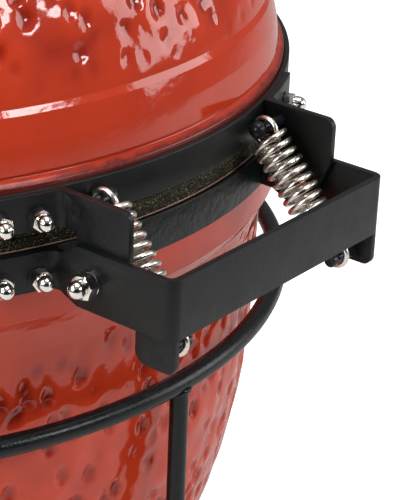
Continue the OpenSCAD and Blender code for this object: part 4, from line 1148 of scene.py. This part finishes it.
def makeDial(s):
    place = dialPlace()
    low, high = s["base"], s["base"] + s["deep"]
    r = s["r"]
    inZ = low + s["sheet"]
    line = [(0, low, 0.0), (r - 0.002, low, 0.001), (r, low + 0.002, 0.001)]
    line += [(r - inset, high - drop, edge) for inset, drop, edge in s["rim"]]
    line += [(r - 0.0012, inZ, 0.0002), (0, inZ)]
    case = turned("dialCase", rounded(line, 0.0005, 3), 120)
    bossR, bossZ, bossTop = s["bossR"], -s["bossDeep"], low + 0.0002
    boss = turned("dialBoss", rounded([(0, bossZ), (bossR, bossZ), (bossR, bossTop), (0, bossTop)], 0.0004),
        64)
    stemZ = -s["stemDeep"]
    stem = [(0, stemZ), (s["tipR"], stemZ, 0.001), (s["stemR"], stemZ + s["tip"], 0.002), (s["stemR"], 0),
        (0, 0)]
    stem = turned("dialStem", rounded(stem, 0.0005), 32)
    finished(placed(joined([case, boss, stem], "dialCase"), place), "lid", "brushed",
        ["dial_case"], 30)
    marks = []
    faceZ = inZ + s["face"]
    last = len(s["numbers"]) - 1
    for i in range(last * 5 + 1):
        angle = math.radians(90 - s["first"] - s["sweep"] * i / (last * 5))
        long, half = s["marks"][i % 5 == 0]
        top = s["tick"] + 0.003
        tick = block("tick", (-half, top - long, 0), (half, top, 2 * s["ink"]))
        turn = Matrix.Rotation(angle - math.pi / 2, 4, "Z")
        marks.append(placed(tick, place @ moved(0, 0, faceZ) @ turn))
    for i, number in enumerate(s["numbers"]):
        angle = math.radians(90 - s["first"] - s["sweep"] * i / last)
        label = added(bpy.ops.object.text_add, "label")
        label.data.body = str(number)
        label.data.size = s["letter"]
        label.data.align_x = label.data.align_y = "CENTER"
        label.data.extrude = s["ink"]
        bpy.ops.object.convert(target="MESH")
        label = bpy.context.object
        editAll(label)
        bpy.ops.mesh.remove_doubles(threshold=1e-6)
        clearSelection()
        far = s["tick"] - s["numberIn"]
        spot = moved(far * math.cos(angle), far * math.sin(angle), faceZ + s["ink"])
        marks.append(placed(label, place @ spot))
    finished(joined(marks, "dialMarks"), "lid", "dialInk")
    lensR, lensZ = r - s["lensIn"], high - s["lensEdge"]
    arc = [(lensR * cosD(a), lensZ + s["lensRise"] * sinD(a)) for a in range(15, 90, 15)]
    line = [(0, high - s["lensLow"]), (lensR, high - s["lensLow"]),
        (lensR, lensZ)] + arc + [(0, high - 0.0012)]
    lens = turned("dialLens", line, 96)
    finished(placed(lens, place), "lid", "glass", ["dial_glass"], 40)
    fromNode("dial_needle", "dialNeedle", s["needleEdge"], 1, "needleRed")


makeDial(dialSet)
print("vent and thermometer ready")

# Draft door and the inside
draftSet = {
    "sheets": {"draft_frame": "draftFrame", "draft_door": "draftDoor"}, "edge": 0.0004,
    # radius, height and edge radius of each corner
    "knob": ((0, -0.002), (0.0025, -0.002), (0.0025, 0), (0.006, 0, 0.0004), (0.005, 0.003, 0.002),
             (0.005, 0.007, 0.002), (0.009, 0.010, 0.002), (0.009, 0.015, 0.002), (0.007, 0.0172, 0.002),
             (0, 0.018)),
    "knobTall": 0.018, "knobEdge": 0.0006, "screwR": 0.0044, "screwTall": 0.0026, "socket": 0.0018,
}


def makeDraft(s):
    for node, name in s["sheets"].items():
        fromNode(node, name, s["edge"], 2, "brushed")
    (x, _, z), y = middleOf("draft_knob"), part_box("draft_knob")[0].y + s["knobTall"]
    knob = turned("draftKnob", rounded(s["knob"], s["knobEdge"], 4), 56)
    placed(knob, moved(x, y, z) @ spun(90, "X"))
    finished(knob, "door", "blackPin", ["draft_knob"], 50)
    low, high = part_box("draft_screws")
    heads, r = [], s["screwR"]
    for x in (low.x + r, high.x - r):
        for z in (low.z + r, high.z - r):
            head = buttonHead("head", r, s["screwTall"], s["socket"])
            heads.append(placed(head, moved(x, low.y + s["screwTall"], z) @ spun(90, "X")))
    finished(joined(heads, "draftScrewHeads"), "base", "polished", (), 30)


insideSet = {
    "firebox": ("fireboxBowl", "fire_clay", "fireClay", 0.0020),
    "fire_ring": ("fireRing", "fire_clay", "fireClay", 0.0020),
    "charcoal_grate": ("charcoalGrate", "cast_grate", "castIron", 0.0008),
    "cooking_grate": ("cookingGrate", "brushed_sheet", "grateSteel", 0.0009),
    "upper_clamp_bolt": ("upperClampBolt", "bright_steel", "polished", 0.0003),
    "lower_clamp_bolt": ("lowerClampBolt", "bright_steel", "polished", 0.0003),
    "upper_clamp_nut": ("upperClampNut", "bright_steel", "polished", 0.0003),
    "lower_clamp_nut": ("lowerClampNut", "bright_steel", "polished", 0.0003),
}
plainNodes = {
    "pivot_bolt_left": "polished", "pivot_bolt_right": "polished",
    "upper_band_studs": "polished", "lower_band_studs": "polished", "vent_pivot_screw": "polished",
    "dial_face": "dialWhite", "dial_nut": "polished", "draft_screws": "polished",
    "ember_screen": "brushed",
}


def makeInside():
    for node, (name, slot, finish, edge) in insideSet.items():
        fromNode(node, name, edge, 2, finish)
    for node, finish in plainNodes.items():
        data = frame["nodes"][node].data
        data.materials.clear()
        data.materials.append(finishes[finish])


makeDraft(draftSet)
makeInside()
print("draft door and inside ready")


# Floor
def makeFloor(s):
    floor = added(bpy.ops.mesh.primitive_plane_add, "floor", size=s["size"], location=(0, 0, 0))
    finish = newFinish("floorPaint", s["colour"], s["roughness"], Emission_Color=(1, 0.99, 0.99, 1))
    tree = finish.node_tree
    path = addNode(tree, "ShaderNodeLightPath")
    glow = mathOf(tree, "MULTIPLY", path.outputs["Is Camera Ray"], s["glow"])
    drive(tree, "Emission Strength", glow)
    speck = noise(tree, objectSpot(tree), s["speck"], 2.0)
    setBump(tree, ranged(tree, speck, 0.0, 1.0, 0.0, s["speckDepth"]))
    floor.data.materials.append(finish)


makeFloor(floorSet)
